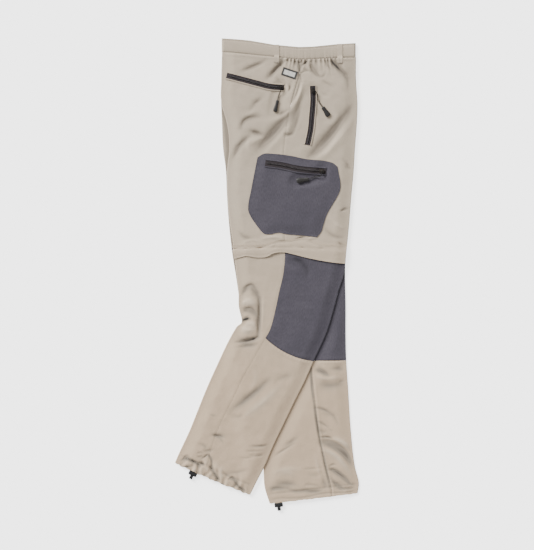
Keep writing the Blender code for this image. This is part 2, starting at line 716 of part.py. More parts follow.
def pull(kind, surface, bar, run):
    """The pull: a cord looped round the slider's bar, and a moulded grip that lies on the cloth."""
    zipper = ZIPS[kind]
    start, end = (np.array(p, float) for p in zipper["grip"])
    heading = (end - start) / np.linalg.norm(end - start)
    side = np.array([-heading[1], heading[0]])
    spots = [start + (end - start) * t + side * w for t in np.linspace(0, 1, 6) for w in (-5, 0, 5)]
    grip_low = max(surface.top(x, d, 4) for x, d in spots) + GAP
    grip_middle = grip_low + GRIP_THICK / 2
    grip = moulded_grip(kind, start + heading * GAP, end, grip_middle, zipper["grip_width"])
    away = np.array(zipper["cord"][0]) - bar[:2]
    out = np.array([-run[1], run[0]])
    out = out if out @ away > 0 else -out
    route = np.array([bar[:2] + out * 5.5, *zipper["cord"]], float)
    middle = curve(route, 9)
    step = np.gradient(middle, axis=0)
    step /= np.linalg.norm(step, axis=1)[:, None]
    beside = np.column_stack([-step[:, 1], step[:, 0]])
    spread = ease(np.linspace(0.2, 1.6, len(middle)))[:, None] * STRAND_APART / 2
    rest = [surface.top(x, d, 3) + GAP + STRAND_RADIUS for x, d in middle]
    share = ease(np.linspace(0, 1.5, len(middle)))
    last = ease(np.linspace(-1, 1, len(middle)))
    halves = []
    for sign in (1, -1):
        near_bar = bar[2] + sign * LOOP_RADIUS * 0.55
        z = np.maximum(near_bar + (np.array(rest) - near_bar) * share, rest)
        z = z + (grip_middle - z) * last
        halves.append(np.column_stack([middle + sign * beside * spread, z]))
    turn = np.radians(np.linspace(70, 290, 8))
    loop = [
        (*(bar[:2] + out * LOOP_RADIUS * math.cos(a)), bar[2] + LOOP_RADIUS * math.sin(a))
        for a in turn
    ]
    points = np.array([*halves[0][::-1], *loop, *halves[1]])
    cord = tube(f"{kind}_cord", points, STRAND_RADIUS, "pull")
    return cord, grip


def moulded_grip(kind, start, end, middle, width):
    """A grip that widens from a neck to a blunt end, with rounded edges."""
    heading = (end - start) / np.linalg.norm(end - start)
    side = np.array([-heading[1], heading[0]])
    sections = ((0, 0.55, 0.6), (0.06, 0.75, 0.8), (0.35, 0.7, 0.85))
    sections += ((0.75, 1, 1), (0.93, 0.95, 0.9), (1, 0.7, 0.6))
    corners = [(math.cos(a), math.sin(a)) for a in np.radians(np.arange(22.5, 360, 45))]
    points, faces = [], []
    for share, wide, thick in sections:
        centre = start + (end - start) * share
        half = max(GRIP_NECK / 2, width / 2 * wide) if 0 < share < 1 else width / 2 * wide * 0.8
        for c, s in corners:
            across = centre + side * half * c / math.cos(math.radians(22.5))
            points.append((*across, middle + GRIP_THICK / 2 * thick * s / math.sin(math.radians(67.5))))
    count = len(corners)
    for i in range(len(sections) - 1):
        for k in range(count):
            a, b = i * count + k, i * count + (k + 1) % count
            faces.append((a, b, b + count, a + count))
    faces.append(tuple(range(count)))
    faces.append(tuple(range(len(points) - count, len(points))))
    return solid(f"{kind}_grip", points, faces, "pull")


def belt_loop(name, surface):
    x, top, bottom = BELT_LOOPS[name]
    grid = [[(x + BELT_LOOP_WIDTH * t, d) for t in (-0.5, 0, 0.5)] for d in np.linspace(top, bottom, 9)]
    return laid(name, grid, surface, TRIM_WALL, "cloth")


def label(surface):
    turn = math.radians(LABEL["turn"])
    right = np.array([math.cos(turn), math.sin(turn)])
    below = np.array([-math.sin(turn), math.cos(turn)])
    centre = np.array([LABEL["x"], LABEL["down"]])
    grid = []
    for v in np.linspace(-0.5, 0.5, 4):
        line = centre + below * LABEL["height"] * v
        grid.append([line + right * LABEL["width"] * u for u in np.linspace(-0.5, 0.5, 6)])
    return laid("label", grid, surface, TAPE_WALL, "label")


def cord_lock(side):
    """A barrel that lies against the hem, and its button below."""
    lock = LOCKS[side]
    turn = math.radians(lock["turn"])
    below = np.array([math.sin(turn), math.cos(turn)])
    box(f"lock_{side}", BARREL, (lock["x"], lock["down"], BARREL[2] / 2), lock["turn"], "lock", 2.2)
    away = BARREL[1] / 2 + BUTTON[1] / 2 + GAP
    spot = np.array([lock["x"], lock["down"]]) + below * away
    box(f"button_{side}", BUTTON, (*spot, BARREL[2] / 2), lock["turn"], "lock", 1.2)


def make_leg(leg, side, cell, fine):
    """The cloth of one leg. columns are the cells on the outer side, the inner side and the fold."""
    back, front = ((10, 4, 2), (7, 3, 2)) if fine else ((3, 5, 2), (3, 4, 2))
    low_back, low_front = ((5, 6, 2), (7, 5, 2)) if fine else (back, front)
    top = ("top",) if fine else ()
    hem = ("bottom",) if fine else ()
    return [
        panel(f"back_thigh_{side}", leg, "back", "waist", "zip_top", back, cell, "cloth", top),
        panel(f"front_thigh_{side}", leg, "front", "waist", "zip_top", front, cell, "cloth", top),
        zip_ring(f"zip_off_{side}", leg),
        panel(f"knee_{side}", leg, "front", "zip_bottom", "knee", low_front, cell, "grey_cloth"),
        panel(f"shin_{side}", leg, "front", "knee", "hem", low_front, cell, "cloth", hem),
        panel(f"calf_{side}", leg, "back", "zip_bottom", "hem", low_back, cell, "cloth", hem),
    ]


def flap(surface):
    xs = np.linspace(0, 1, 19)
    grid = []
    for v in np.linspace(0, 1, 4):
        back = FLAP_TOP[0][0] + (FLAP_EDGE[0][0] - FLAP_TOP[0][0]) * v
        front = FLAP_TOP[-1][0] + (FLAP_EDGE[-1][0] - FLAP_TOP[-1][0]) * v
        line = back + (front - back) * xs
        down = height_at(FLAP_TOP, line) * (1 - v) + height_at(FLAP_EDGE, line) * v
        grid.append(list(zip(line, down)))
    return laid("zip_flap_right", grid, surface, TRIM_WALL, "cloth")


def main():
    clear_scene()
    make_leg(LEFT, "left", CELL * 1.7, False)
    upper = make_leg(RIGHT, "right", CELL, True)
    band("waistband_left", LEFT)
    upper.append(band("waistband_right", RIGHT))
    surface = Surface(upper)
    flap(surface)
    pocket = patch(POCKET_TOP, POCKET_BOTTOM, POCKET_BACK, POCKET_FRONT, 12, 13)
    laid("cargo_pocket", pocket, surface, TRIM_WALL, "grey_cloth", POCKET_PUFF)
    for name in BELT_LOOPS:
        belt_loop(name, surface)
    label(surface)
    for kind, zipper in ZIPS.items():
        laid(f"{kind}_zip", ribbon(zipper["line"], zipper["width"], 14, 3), surface, TAPE_WALL, "zip_tape")
        bar, run = slider(kind, surface)
        pull(kind, surface, bar, run)
    for side in LOCKS:
        cord_lock(side)


main()
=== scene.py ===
"""Looks of the convertible zip-off trousers, laid flat on their side with the right leg on top.

The tables repeat the garment's own pattern, in millimetres: x across from the middle, and down
from the back corner of the waist. place() turns them to metres in the part's frame.
"""

import math

import bmesh
import bpy
import numpy as np
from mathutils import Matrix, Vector
from mathutils.bvhtree import BVHTree


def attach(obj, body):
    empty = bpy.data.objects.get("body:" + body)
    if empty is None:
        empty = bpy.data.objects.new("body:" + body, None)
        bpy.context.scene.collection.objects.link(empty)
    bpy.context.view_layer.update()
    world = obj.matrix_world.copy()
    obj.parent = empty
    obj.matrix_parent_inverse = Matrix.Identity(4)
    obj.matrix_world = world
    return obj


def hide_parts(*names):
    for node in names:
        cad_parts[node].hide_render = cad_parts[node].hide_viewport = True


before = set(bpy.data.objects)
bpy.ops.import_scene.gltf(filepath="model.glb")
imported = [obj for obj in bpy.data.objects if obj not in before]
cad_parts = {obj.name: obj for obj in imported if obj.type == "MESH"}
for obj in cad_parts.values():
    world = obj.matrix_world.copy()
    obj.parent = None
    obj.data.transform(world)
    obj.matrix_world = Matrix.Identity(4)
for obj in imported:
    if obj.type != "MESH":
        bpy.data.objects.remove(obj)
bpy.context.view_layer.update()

MM = 0.001
MIDDLE_DOWN = 545.0  # the middle of the laid length, so that the origin is under it
GAP = 0.3  # between pieces at a seam, and between one leg and the other
LEG = 3.6  # a leg laid flat
STACK = 2 * LEG + GAP
CLOTH = 1.0  # the shell's thickness
LOFT = 4.4  # how far loose cloth stands up from what it covers
LOFT_EDGE = 30.0  # it falls to nothing over this distance from a folded edge
CROTCH_DOWN = 292.0
RISE_DOWN = 154.0  # where the seat and fly seams leave the folded edges
ALLOWANCE = 9.0  # the seam allowance turned in along those seams
DROP_START = 22.0  # the right leg starts to come down this far past the left leg
DROP_RUN = 42.0  # and is on the floor this much further on
CLEAR_START = 6.0
FINE = 2.1  # the spacing of the points of cloth that shows
COARSE = 9.0
HIDDEN = 5.0
BAND_HEIGHT = 37.0  # the waistband as cut, its edges turned in
FAR_OFF = 999.0  # the distance to a seam that a piece doesn't have
PRESSED_LIFT = 2.3  # how far the cloth stands up under a zip pull
OUTER_UP = {"right": True, "left": False}

STATION = "back_x back_down seam_x seam_down front_x front_down bow inseam".split()

# One row for each place down the right leg: back fold, outseam, front fold, how far the line
# across the front sags, and the inseam as a share of the way from the back fold to the front one.
RIGHT_LEG = (
    (-103.5, 31, 77, 49.5, 205.2, 43.7, 0, 0.60),
    (-104.7, 85, 74.5, 83, 205.2, 94, 0, 0.60),
    (-105, 149.5, 56.4, 148.5, 208.6, 152, 0, 0.60),
    (-93.8, 189, 48.3, 184, 207.9, 184, 0, 0.60),
    (-87, 258, 38, 262, 202.4, 262, 0, 0.60),
    (-91.3, 299, 35.7, 304, 200, 304, 0, 0.60),
    (-91.3, 363, 34.5, 368, 194.4, 366, 0, 0.60),
    (-85.6, 423, 37.3, 428, 189.3, 430, 0, 0.60),
    (-76.8, 482, 41.4, 478.5, 184, 483, 0, 0.60),
    (-76, 488, 41.6, 484.5, 183.3, 489, 0, 0.60),
    (-70, 545, 37, 545, 176.6, 545, 0, 0.60),
    (-65.8, 582, 28.3, 582, 165, 582, 0, 0.60),
    (-65.3, 616, 21.2, 616.5, 154.6, 621, 1, 0.61),
    (-58.4, 652, 8.7, 666, 137, 678.5, 4, 0.61),
    (-71.3, 666, -3.7, 690, 107.2, 744, 10, 0.62),
    (-88.8, 697, -27.6, 731.5, 89.7, 784, 6, 0.62),
    (-114, 750, -53, 776, 65.6, 832.5, 0, 0.63),
    (-139.6, 807, -80.3, 833, 38.4, 889, 0, 0.64),
    (-159.2, 855.5, -103.7, 879, 15.4, 937, 0, 0.65),
    (-178.7, 904, -123.5, 927, -5.1, 984.5, 0, 0.66),
    (-203, 956, -137, 980, -28.5, 1030.5, 0, 0.67),
    (-212.8, 978, -145, 1009, -39, 1052, 0, 0.68),
)
# The same for the left leg, which lies under the right one with its inner side up.
LEFT_LEG = (
    (-104, 32, 76, 50, 204.2, 45, 0, 0.60),
    (-105.8, 96.5, 73, 96.5, 203.6, 96.5, 0, 0.60),
    (-106, 149.5, 56, 150, 206, 152, 0, 0.60),
    (-104.4, 188.5, 46, 188.5, 205.6, 188.5, 0, 0.60),
    (-101, 257.5, 37, 260, 200, 262, 0, 0.60),
    (-95.5, 299, 34, 301, 197.8, 303.5, 0, 0.60),
    (-92.5, 363.5, 33, 365, 191.8, 366, 0, 0.60),
    (-88.3, 423, 35, 426, 186.8, 430, 0, 0.60),
    (-82, 482, 36, 482.5, 181.7, 483, 0, 0.60),
    (-81.3, 488, 36, 488.5, 181.5, 489, 0, 0.60),
    (-72.2, 545, 38, 545, 180.3, 545, 0, 0.61),
    (-62, 616.5, 40, 616.5, 181.7, 616.5, 0, 0.62),
    (-55.2, 671.5, 42, 675, 181.7, 678.5, 0, 0.63),
    (-45, 745, 45, 743.5, 183, 742, 0, 0.635),
    (-34.5, 821, 50, 817.5, 187.7, 814, 0, 0.645),
    (-23, 901.5, 59, 901.5, 193.2, 901.5, 0, 0.655),
    (-8.3, 989, 72, 989, 203.3, 989, 0, 0.68),
    (-5, 1037, 77, 1033, 212, 1026, 0, 0.70),
    (6, 1072, 84, 1063, 209, 1048, 0, 0.71),
)
# Which rows above carry a seam.
RIGHT_SEAMS = {"waist": 0, "zip_top": 8, "zip_bottom": 9, "knee": 14, "hem": 21}
LEFT_SEAMS = {"waist": 0, "zip_top": 8, "zip_bottom": 9, "knee": 13, "hem": 18}

# The largest troughs and ridges, each along a curve through three places.
RIGHT_FOLDS = (
    (-51, 74, -30, 65, -10, 58, 7, -1.3),
    (1, 94, 17, 76, 35, 59, 8, -2.2),
    (147, 51, 162, 66, 187, 94, 8, -2.2),
    (99, 58, 108, 72, 121, 88, 7, -1.6),
    (-58, 205, -45, 187, -14, 182, 9, -1.4),
    (-34, 216, -24, 219, -14, 222, 8, -1.8),
    (-40, 225, -66, 251, -84, 290, 9, -1.8),
    (55, 172, 17, 219, -20, 254, 14, -2.4),
    (88, 123, 68, 170, 55, 221, 9, -1.8),
    (84, 96, 58, 160, 10, 190, 10, 1.4),
    (189, 163, 144, 229, 97, 272, 15, -2.4),
    (176, 200, 150, 250, 130, 272, 12, 1.2),
    (180, 293, 190, 299, 198, 305, 7, -1.4),
    (-38, 572, -50, 579, -61, 591, 8, -1.8),
    (-38, 572, -28, 585, -17, 601, 8, -1.6),
    (-60, 606, -44, 610, -28, 612, 9, 2.0),
    (-63, 626, -40, 628, -27, 638, 8, -2.2),
    (-56, 650, -48, 645, -40, 646, 7, -2.6),
    (-15, 601, -19, 654, -20, 683, 8, -2.2),
    (-58, 668, -46, 672, -30, 672, 10, 2.2),
    (-23, 689, -44, 696, -63, 692, 8, -2.2),
    (4, 787, -37, 823, -79, 855, 11, -2.2),
    (30, 800, -10, 838, -50, 868, 12, 1.2),
    (-123, 914, -110, 916, -97, 918, 8, -1.4),
)
LEFT_FOLDS = (
    (131, 934, 174, 955, 205, 996, 10, -2.4),
    (150, 922, 180, 938, 200, 960, 9, 1.4),
    (107, 759, 125, 766, 143, 777, 8, -1.6),
    (147, 992, 167, 1005, 187, 1020, 8, -2.0),
    (40, 940, 55, 930, 70, 920, 7, -1.2),
    (20, 1028, 45, 1026, 70, 1030, 10, -1.6),
)

# Gathers under the elastic: how far across, how far down the cloth they run, and how deep.
WAIST_GATHERS = (
    (36, 30, 1.6),
    (52, 22, 1.4),
    (66, 30, 1.8),
    (80, 16, 1.2),
    (91, 22, 1.6),
    (111, 30, 1.8),
    (123, 18, 1.4),
    (137, 26, 1.6),
    (151, 30, 1.8),
    (165, 16, 1.4),
)
# Gathers of the drawn hem of the right leg, as shares of the way from the back to the front.
HEM_GATHERS = (
    (0.10, 30, 1.2),
    (0.20, 36, 1.6),
    (0.31, 52, 1.8),
    (0.42, 40, 1.6),
    (0.54, 48, 1.8),
    (0.66, 34, 1.5),
    (0.78, 44, 1.8),
    (0.89, 28, 1.2),
)
WAIST_GATHER_REACH = 4.5
HEM_GATHER_REACH = 4.5
HEM_CHANNEL = 22.0  # from the hem to the stitching of its channel

# The waistband's top edge, at places across. Its seam is each leg's first row.
BAND_TOP = ((-104.5, 0), (-72, 2), (-40, 5), (18, 15), (74, 20), (105, 19), (161, 13.5), (204.5, 11))

# Zip-off flap: its sewn top edge and its free lower edge.
FLAP_TOP = ((-80, 477), (-50, 476), (-10, 477), (20, 468), (45, 466), (85, 460), (120, 473), (184, 475))
FLAP_EDGE = (
    (-76, 508), (-64, 505), (-53, 502), (-20, 505), (0, 503), (13, 496), (39, 493),
    (58, 497), (94, 506), (130, 513), (156, 517), (179.5, 519),
)

# Cargo pocket: its four sides, each from the back or from the top.
POCKET_TOP = (
    (-21.9, 274.9), (-10.4, 267.5), (18.4, 266.8), (52.9, 270.9), (91.3, 278.8), (137.3, 283.6),
    (152.5, 288.2), (162.2, 296),
)
POCKET_BOTTOM = (
    (-14.3, 443.4), (-6.4, 450.1), (6.9, 451.3), (26, 447.8), (45.3, 451.3), (75.9, 453.8),
    (106.5, 457), (114.3, 458.2),
)
POCKET_BACK = (
    (-21.9, 274.9), (-25.8, 293.9), (-31.5, 322.7), (-37.3, 353.5), (-43, 384.1), (-43, 397.4),
    (-37.3, 411), (-25.8, 428.3), (-14.3, 443.4),
)
POCKET_FRONT = (
    (162.2, 296), (164.9, 311.2), (167.9, 326.6), (167.9, 349.6), (160.3, 366.9), (148.8, 385.9),
    (137.3, 407.1), (129.5, 430.1), (124.9, 445.5), (114.3, 458.2),
)

YOKE = ((78, 98.5), (97, 98), (115, 99.6), (142, 111))

# Zips: the middle of the tape, its width, where the slider sits, and the pull's cord and grip.
ZIPS = {
    "back": {
        "line": ((-93, 86), (-59, 95), (-21, 105), (7, 112), (39, 114)),
        "width": 13.0,
        "slider": (32, 113.8),
        "cord": ((30.5, 124), (26.5, 134), (24.5, 143)),
        "grip": ((24.5, 143), (18, 170)),
        "grip_width": 9.5,
    },
    "hand": {
        "line": ((105, 110), (106, 143), (103, 182), (100.5, 209), (93, 246)),
        "width": 13.0,
        "slider": (105.4, 122),
        "cord": ((115, 128), (119, 146), (128, 159)),
        "grip": ((128, 159), (142.4, 180)),
        "grip_width": 12.0,
    },
    "cargo": {
        "line": ((-4, 288), (33, 293), (70, 301), (136, 307)),
        "width": 14.0,
        "slider": (126, 306.1),
        "cord": ((124, 316), (109, 320), (96, 325)),
        "grip": ((96, 325), (68, 329)),
        "grip_width": 11.5,
    },
}

BELT_LOOPS = {"loop_side": (22.0, 15.0, 57.0), "loop_front": (167.5, 13.0, 58.5)}
BELT_LOOP_WIDTH = 11.5
LABEL_BORDER = 4.3
LABEL = {"x": 51.5, "down": 81.5, "width": 35.0, "height": 19.0, "turn": 18.2}


# Smaller folds, which the pattern's larger ones leave out.
RIGHT_CREASES = (
    (30, 160, 34, 172, 30, 184, 8, -0.9),
    (-30, 150, -20, 146, -10, 140, 6, -0.8),
    (38, 222, 46, 224, 56, 220, 6, -1.2),
    (-92, 230, -80, 262, -84, 288, 7, 0.9),
    (-20, 168, -40, 176, -58, 192, 8, 0.7),
    (-8, 230, -24, 236, -38, 246, 7, 0.9),
    (110, 280, 128, 268, 140, 258, 7, 0.6),
    (60, 510, 84, 520, 94, 545, 9, -0.7),
    (-58, 700, -40, 708, -24, 706, 7, -0.8),
    (-66, 636, -52, 640, -36, 646, 6, 1.2),
    (-34, 652, -26, 662, -20, 676, 6, 1.2),
    (-8, 596, -10, 640, -12, 668, 6, 0.8),
    (-30, 760, -26, 790, -40, 812, 8, 0.6),
    (-52, 862, -66, 872, -84, 866, 7, -0.7),
    (-40, 944, -16, 940, 0, 942, 5, -0.6),
    (-44, 962, -24, 958, -8, 962, 5, -0.5),
    (20, 790, 40, 780, 62, 776, 9, -0.8),
)
LEFT_CREASES = (
    (128, 862, 142, 868, 158, 866, 6, -0.6),
    (144, 1022, 160, 1026, 180, 1024, 6, -0.7),
    (92, 1000, 108, 1006, 128, 1002, 7, -0.5),
    (30, 1006, 48, 1000, 64, 1008, 8, 0.7),
    (112, 962, 118, 990, 126, 1018, 5, 0.7),
)
# Folds here are this much narrower and deeper than the pattern's, which cut the same cloth coarsely.
SHARP = 0.72
DEEP = 1.35
HEM_WAVE = {"right": 0.9, "left": 0.35}
# Openings of deep folds, where the colour is painted dark as shade over a small dip in the cloth: three
# places, reach, and how dark the painted shade is.
RIGHT_SLITS = (
    (-60, 652, -50, 647, -39, 646, 3.0, 8.0),
    (-34, 690, -30, 692, -24, 690, 2.5, 2.0),
    (-50, 685, -36, 692, -24, 689, 4.0, 1.2),
    (-60, 606, -48, 603, -38, 605, 3.0, 1.0),
    (76, 62, 74, 78, 71, 98, 2.2, 1.4),
    (71, 98, 62, 130, 56, 150, 2.2, 0.7),
    (-132, 866, -124, 868, -116, 869, 2.5, 1.2),
    (-10, 484, 15, 472, 66, 474, 2.0, 1.6),
    (62, 466, 74, 460, 85, 458, 2.0, 1.2),
    (-104.5, 42, -104, 46, -103.5, 50, 2.0, 3.0),
)
# More fold openings with painted shade, read on the grid described below.
RIGHT_OPENINGS = (
    (184, 460, 192, 461, 200, 467, 1.2, 3.2),
    (182, 467, 187, 467.5, 192, 466.5, 1.1, 2.6),
    (200, 463.5, 203, 464.5, 205, 465, 1.3, 3.2),
    (212, 469, 215, 475, 219, 481, 1.2, 3.2),
    (229, 480, 233, 479.5, 236, 483, 1.2, 2.6),
    (236, 484, 240, 488, 245, 492, 1.3, 3.0),
    (207, 455, 210.5, 458, 212, 463, 1.0, 1.8),
    (213, 435.5, 216, 436, 219, 436.5, 1.2, 1.0),
    (302, 66, 305, 63, 308, 60, 1.0, 2.0),
    (293, 60, 296, 63, 298, 69, 1.0, 2.4),
    (297, 60, 299, 62.5, 302, 60, 1.0, 2.2),
    (310, 62, 312, 60.5, 314, 59.5, 1.0, 2.0),
    (331, 60, 335, 65, 339, 69, 1.2, 1.8),
    (340, 211, 345, 209.5, 350, 207.5, 1.0, 1.6),
    (276, 243.5, 281, 242.3, 287, 242.3, 1.0, 1.6),
)
# The same painted shade in the left leg's fold openings and along its inseam.
LEFT_SLITS = (
    (101, 750, 103, 796, 108, 837, 2.6, 5.0),
    (108, 837, 115, 885, 122, 927, 2.6, 5.0),
    (122, 927, 133, 975, 145, 1037, 2.6, 4.0),
    (131, 934, 174, 955, 215, 1005, 6.0, 0.8),
    (0, 1044, 14, 1036, 40, 1042, 5.0, 1.0),
)
# Finer folds, read on a grid whose step is GRID millimetres and whose GRID_MIDDLE is the middle of
# the waist: three places, reach in steps, height in millimetres.
GRID = 2.3
GRID_MIDDLE = (267, 38)
VIEW_STEPS = 550  # steps of the grid that the camera sees
RIGHT_MARKS = (
    (240, 297, 250, 285, 258, 293, 1.5, -1.9),
    (258, 293, 260, 315, 258, 337, 1.8, -1.7),
    (241, 313, 250, 308, 256, 315, 1.5, -1.9),
    (242, 304, 249, 300, 255, 304, 2.0, 1.3),
    (236, 342, 247, 341, 258, 337.5, 1.4, -2.4),
    (237, 347, 246, 346, 256, 344, 2.2, -1.3),
    (244, 326, 250, 324, 255, 328, 2.5, 1.3),
    (241, 71, 255, 66, 267, 59, 2.2, -1.2),
    (272, 76, 277, 68, 287, 60, 1.5, -2.0),
    (277, 78, 281, 83, 286, 84, 1.2, -1.4),
    (263, 96, 255, 104, 250, 112, 2.5, -0.9),
    (241, 129, 246, 119, 259, 117, 2.0, -1.5),
    (251, 131, 257, 133, 262, 135, 1.6, -1.8),
    (228, 162, 238, 148, 250, 137, 2.0, -1.3),
    (250, 152, 250, 142, 262, 138, 3.0, 0.9),
    (258, 150, 274, 130, 292, 113, 4.0, -1.6),
    (264, 156, 281, 136, 297, 118, 3.0, 0.9),
    (291, 104, 298, 90, 300, 72, 1.2, -1.6),
    (300, 72, 300, 66, 299, 60, 1.2, -1.8),
    (294, 108, 300, 94, 302, 84, 1.5, 1.5),
    (300, 108, 297, 122, 293, 133, 1.8, -1.6),
    (285, 133, 290, 135, 294, 132, 1.4, -1.2),
    (277, 112, 283, 113, 291, 108, 1.8, -1.2),
    (302, 82, 301, 74, 307, 71, 1.0, -1.3),
    (302, 66, 305, 63, 308, 60, 1.0, -2.0),
    (303, 68, 308, 71, 312, 72, 1.2, -1.1),
    (309, 62, 314, 72, 321, 77, 1.4, -2.0),
    (321, 77, 324, 76, 325, 72, 1.2, -1.0),
    (326, 62, 329, 67, 332, 71, 1.2, -1.5),
    (331, 60, 338, 68, 346, 75, 1.8, -2.2),
    (343, 72, 347, 78, 349, 90, 2.0, -1.2),
    (322, 81, 328, 84, 333, 87, 1.5, -1.0),
    (320, 91, 324, 94, 328, 96, 1.3, -0.7),
    (351, 108, 335, 128, 310, 156, 3.8, -1.6),
    (353, 119, 340, 138, 323, 157, 3.5, 1.2),
    (343, 159, 349, 166, 353, 171, 1.0, -1.1),
    (289, 85, 290, 88, 289, 91, 0.9, -2.8),
    (286.5, 84, 287, 88, 286.5, 91, 1.0, 1.6),
    (341, 211, 345, 209, 350, 207.5, 1.0, -1.8),
    (273, 246, 278, 243, 287, 242, 1.0, -2.6),
    (287, 242, 291, 243, 296, 245, 0.9, -2.0),
    (294, 241, 299, 239, 304, 237, 0.9, -2.0),
    (306, 240, 312, 238, 318, 238, 0.9, 1.0),
    (339, 243, 342, 245, 345, 246, 0.9, -2.0),
    (240, 232, 246, 238, 256, 240, 2.0, -1.4),
    (262, 239, 274, 237, 282, 239, 1.6, 1.4),
    (244, 243, 252, 240, 262, 243, 1.6, 1.2),
    (326, 228, 333, 236, 345, 238, 2.0, -1.2),
    (331, 218, 338, 226, 346, 228, 2.0, 1.0),
    (181, 461, 186, 459, 191, 461, 1.3, -2.6),
    (190, 461, 196, 463, 200, 467, 1.3, -2.8),
    (184, 458, 187, 456, 190, 458, 0.9, -1.3),
    (182, 467, 187, 467, 192, 466, 1.1, -1.9),
    (200, 463, 203, 464, 205, 465, 1.4, -2.4),
    (197, 453.5, 200, 453, 203, 454, 0.9, -1.2),
    (197, 456, 200, 457, 203, 456, 0.9, -1.2),
    (201, 459, 205, 457, 208, 454.5, 1.0, -1.8),
    (208, 455, 210, 457, 212, 462, 1.0, -1.6),
    (212, 460, 212, 466, 213, 470, 1.1, -1.8),
    (209, 466, 212, 470, 217, 478, 1.1, -2.4),
    (217, 478, 219, 480, 220, 482, 1.3, -2.2),
    (199, 444, 204, 446, 206, 449, 1.4, -1.2),
    (204, 451, 209, 451, 213, 450, 1.5, -1.3),
    (213, 435, 217, 436, 222, 437, 1.2, -1.9),
    (219, 438, 222, 441, 224, 444, 1.0, -0.9),
    (228, 480, 232, 478, 235, 481, 1.1, -2.2),
    (235, 481, 239, 487, 244, 491, 1.3, -2.5),
    (223, 472, 226, 475, 229, 477, 1.0, -0.9),
    (189, 463, 192, 468, 197, 471, 2.2, 1.4),
    (204, 459, 206, 466, 210, 474, 2.2, 1.2),
    (216, 464, 220, 471, 226, 481, 2.5, 1.0),
    (250, 446, 260, 446, 268, 445, 0.9, -1.2),
    (246, 451, 254, 451, 262, 450.5, 0.9, -0.8),
    (252, 456, 258, 456, 263, 455, 0.9, -0.9),
    (240, 458, 247, 458, 252, 457, 0.9, -0.7),
    (224, 473, 236, 473, 248, 470, 2.0, -0.8),
    (293, 260, 299, 261, 303, 264, 2.2, -1.6),
    (303, 264, 307, 269, 308, 275, 2.0, -1.0),
    (283, 262, 290, 268, 298, 270, 2.5, 0.7),
)
LEFT_MARKS = (
    (312, 369, 322, 372, 329, 377, 2.0, -1.9),
    (332, 369, 340, 369, 347, 369, 2.5, -1.7),
    (320, 383, 330, 386, 347, 383, 4.0, -1.5),
    (340, 382, 344, 381, 348, 381, 0.9, -1.6),
    (316, 376, 326, 379, 340, 377, 2.0, 1.0),
    (316, 408, 324, 410, 331, 414, 1.4, -1.8),
    (331, 414, 335, 418, 338, 424, 1.6, -1.0),
    (319, 422, 324, 425, 332, 431, 1.2, -1.8),
    (322, 424, 327, 428, 332, 429, 1.0, 1.0),
    (320, 428, 322, 432, 326, 432, 2.0, -1.2),
    (320, 437.5, 328, 437.5, 333, 439, 0.9, -2.0),
    (321, 443, 341, 447, 365, 484, 3.0, -2.0),
    (322, 450, 337, 457, 352, 475, 2.6, 1.6),
    (326, 439, 343, 443, 353, 456, 2.2, 1.3),
    (330, 470, 338, 473, 350, 483, 1.4, -2.3),
    (330, 466, 333, 465, 336, 465, 0.9, -1.4),
    (330, 478, 338, 486, 343, 490, 1.6, -1.8),
    (344, 480, 350, 484, 357, 486, 1.2, -1.2),
    (303, 491, 313, 492, 322, 491, 2.0, -2.0),
    (305, 486, 310, 485, 320, 487, 1.2, -0.9),
    (272, 492, 276, 489, 288, 489, 2.0, -1.8),
    (288, 489, 297, 492, 306, 491, 1.8, -1.4),
    (303, 469, 312, 469, 322, 468, 0.9, -0.7),
    (323, 478, 325, 484, 327, 488, 2.5, -1.4),
    (270, 459, 281, 452, 294, 444, 1.0, -1.4),
    (274, 474, 284, 470, 300, 470, 2.5, 0.8),
    (336, 488, 346, 489, 356, 488, 1.8, -1.5),
)
# Small puckers along seams, as a height and a pitch.
PUCKER = (0.22, 7.5)
# Soft unevenness of the cloth, as waves of (length, height).
UNEVEN = ((150.0, 0.5), (62.0, 0.35), (27.0, 0.16), (11.0, 0.05))


def ease(share):
    share = np.clip(share, 0, 1)
    return share * share * (3 - 2 * share)


def smooth(along, values, wanted):
    """A cubic curve through the values, with slopes taken from their neighbours."""
    slope = np.gradient(values, along, axis=0)
    k = np.clip(np.searchsorted(along, wanted, "right") - 1, 0, len(along) - 2)
    step = (along[k + 1] - along[k])[:, None]
    t = (np.asarray(wanted) - along[k])[:, None] / step
    start = (1 + 2 * t) * (1 - t) ** 2 * values[k] + t * (1 - t) ** 2 * step * slope[k]
    return start + t * t * (3 - 2 * t) * values[k + 1] - t * t * (1 - t) * step * slope[k + 1]


def curve(points, count):
    """count points evenly spaced along a smooth line through the points."""
    points = np.array(points, float)
    along = np.concatenate([[0], np.cumsum(np.linalg.norm(np.diff(points, axis=0), axis=1))])
    return smooth(along, points, np.linspace(0, along[-1], count))


def height_at(line, x):
    """How far down an edge lies at x."""
    line = np.array(line, float)
    return np.interp(x, line[:, 0], line[:, 1])


def place(points):
    """Millimetres across, down and up, turned to metres in the part's frame."""
    points = np.asarray(points, float)
    return np.stack([points[..., 0], MIDDLE_DOWN - points[..., 1], points[..., 2]], axis=-1) * MM


class Leg:
    """One leg laid flat: its lines at any distance along it."""

    def __init__(self, side, stations, seams, folds, slits):
        self.side = side
        self.table = np.array(stations, float)
        middle = (self.table[:, 0:2] + self.table[:, 4:6]) / 2
        self.along = np.concatenate([[0], np.cumsum(np.linalg.norm(np.diff(middle, axis=0), axis=1))])
        self.seams = {name: self.along[row] for name, row in seams.items()}
        self.folds = np.array(folds, float)
        self.slits = np.array(slits, float)

    def lines(self, wanted):
        return dict(zip(STATION, smooth(self.along, self.table, wanted).T))


def from_grid(marks):
    """Folds read on the grid, as rows of millimetres like the other folds."""
    rows = np.array(marks, float)
    rows[:, 0:6:2] = (rows[:, 0:6:2] - GRID_MIDDLE[0]) * GRID
    rows[:, 1:6:2] = (rows[:, 1:6:2] - GRID_MIDDLE[1]) * GRID
    rows[:, 6] *= GRID
    return rows


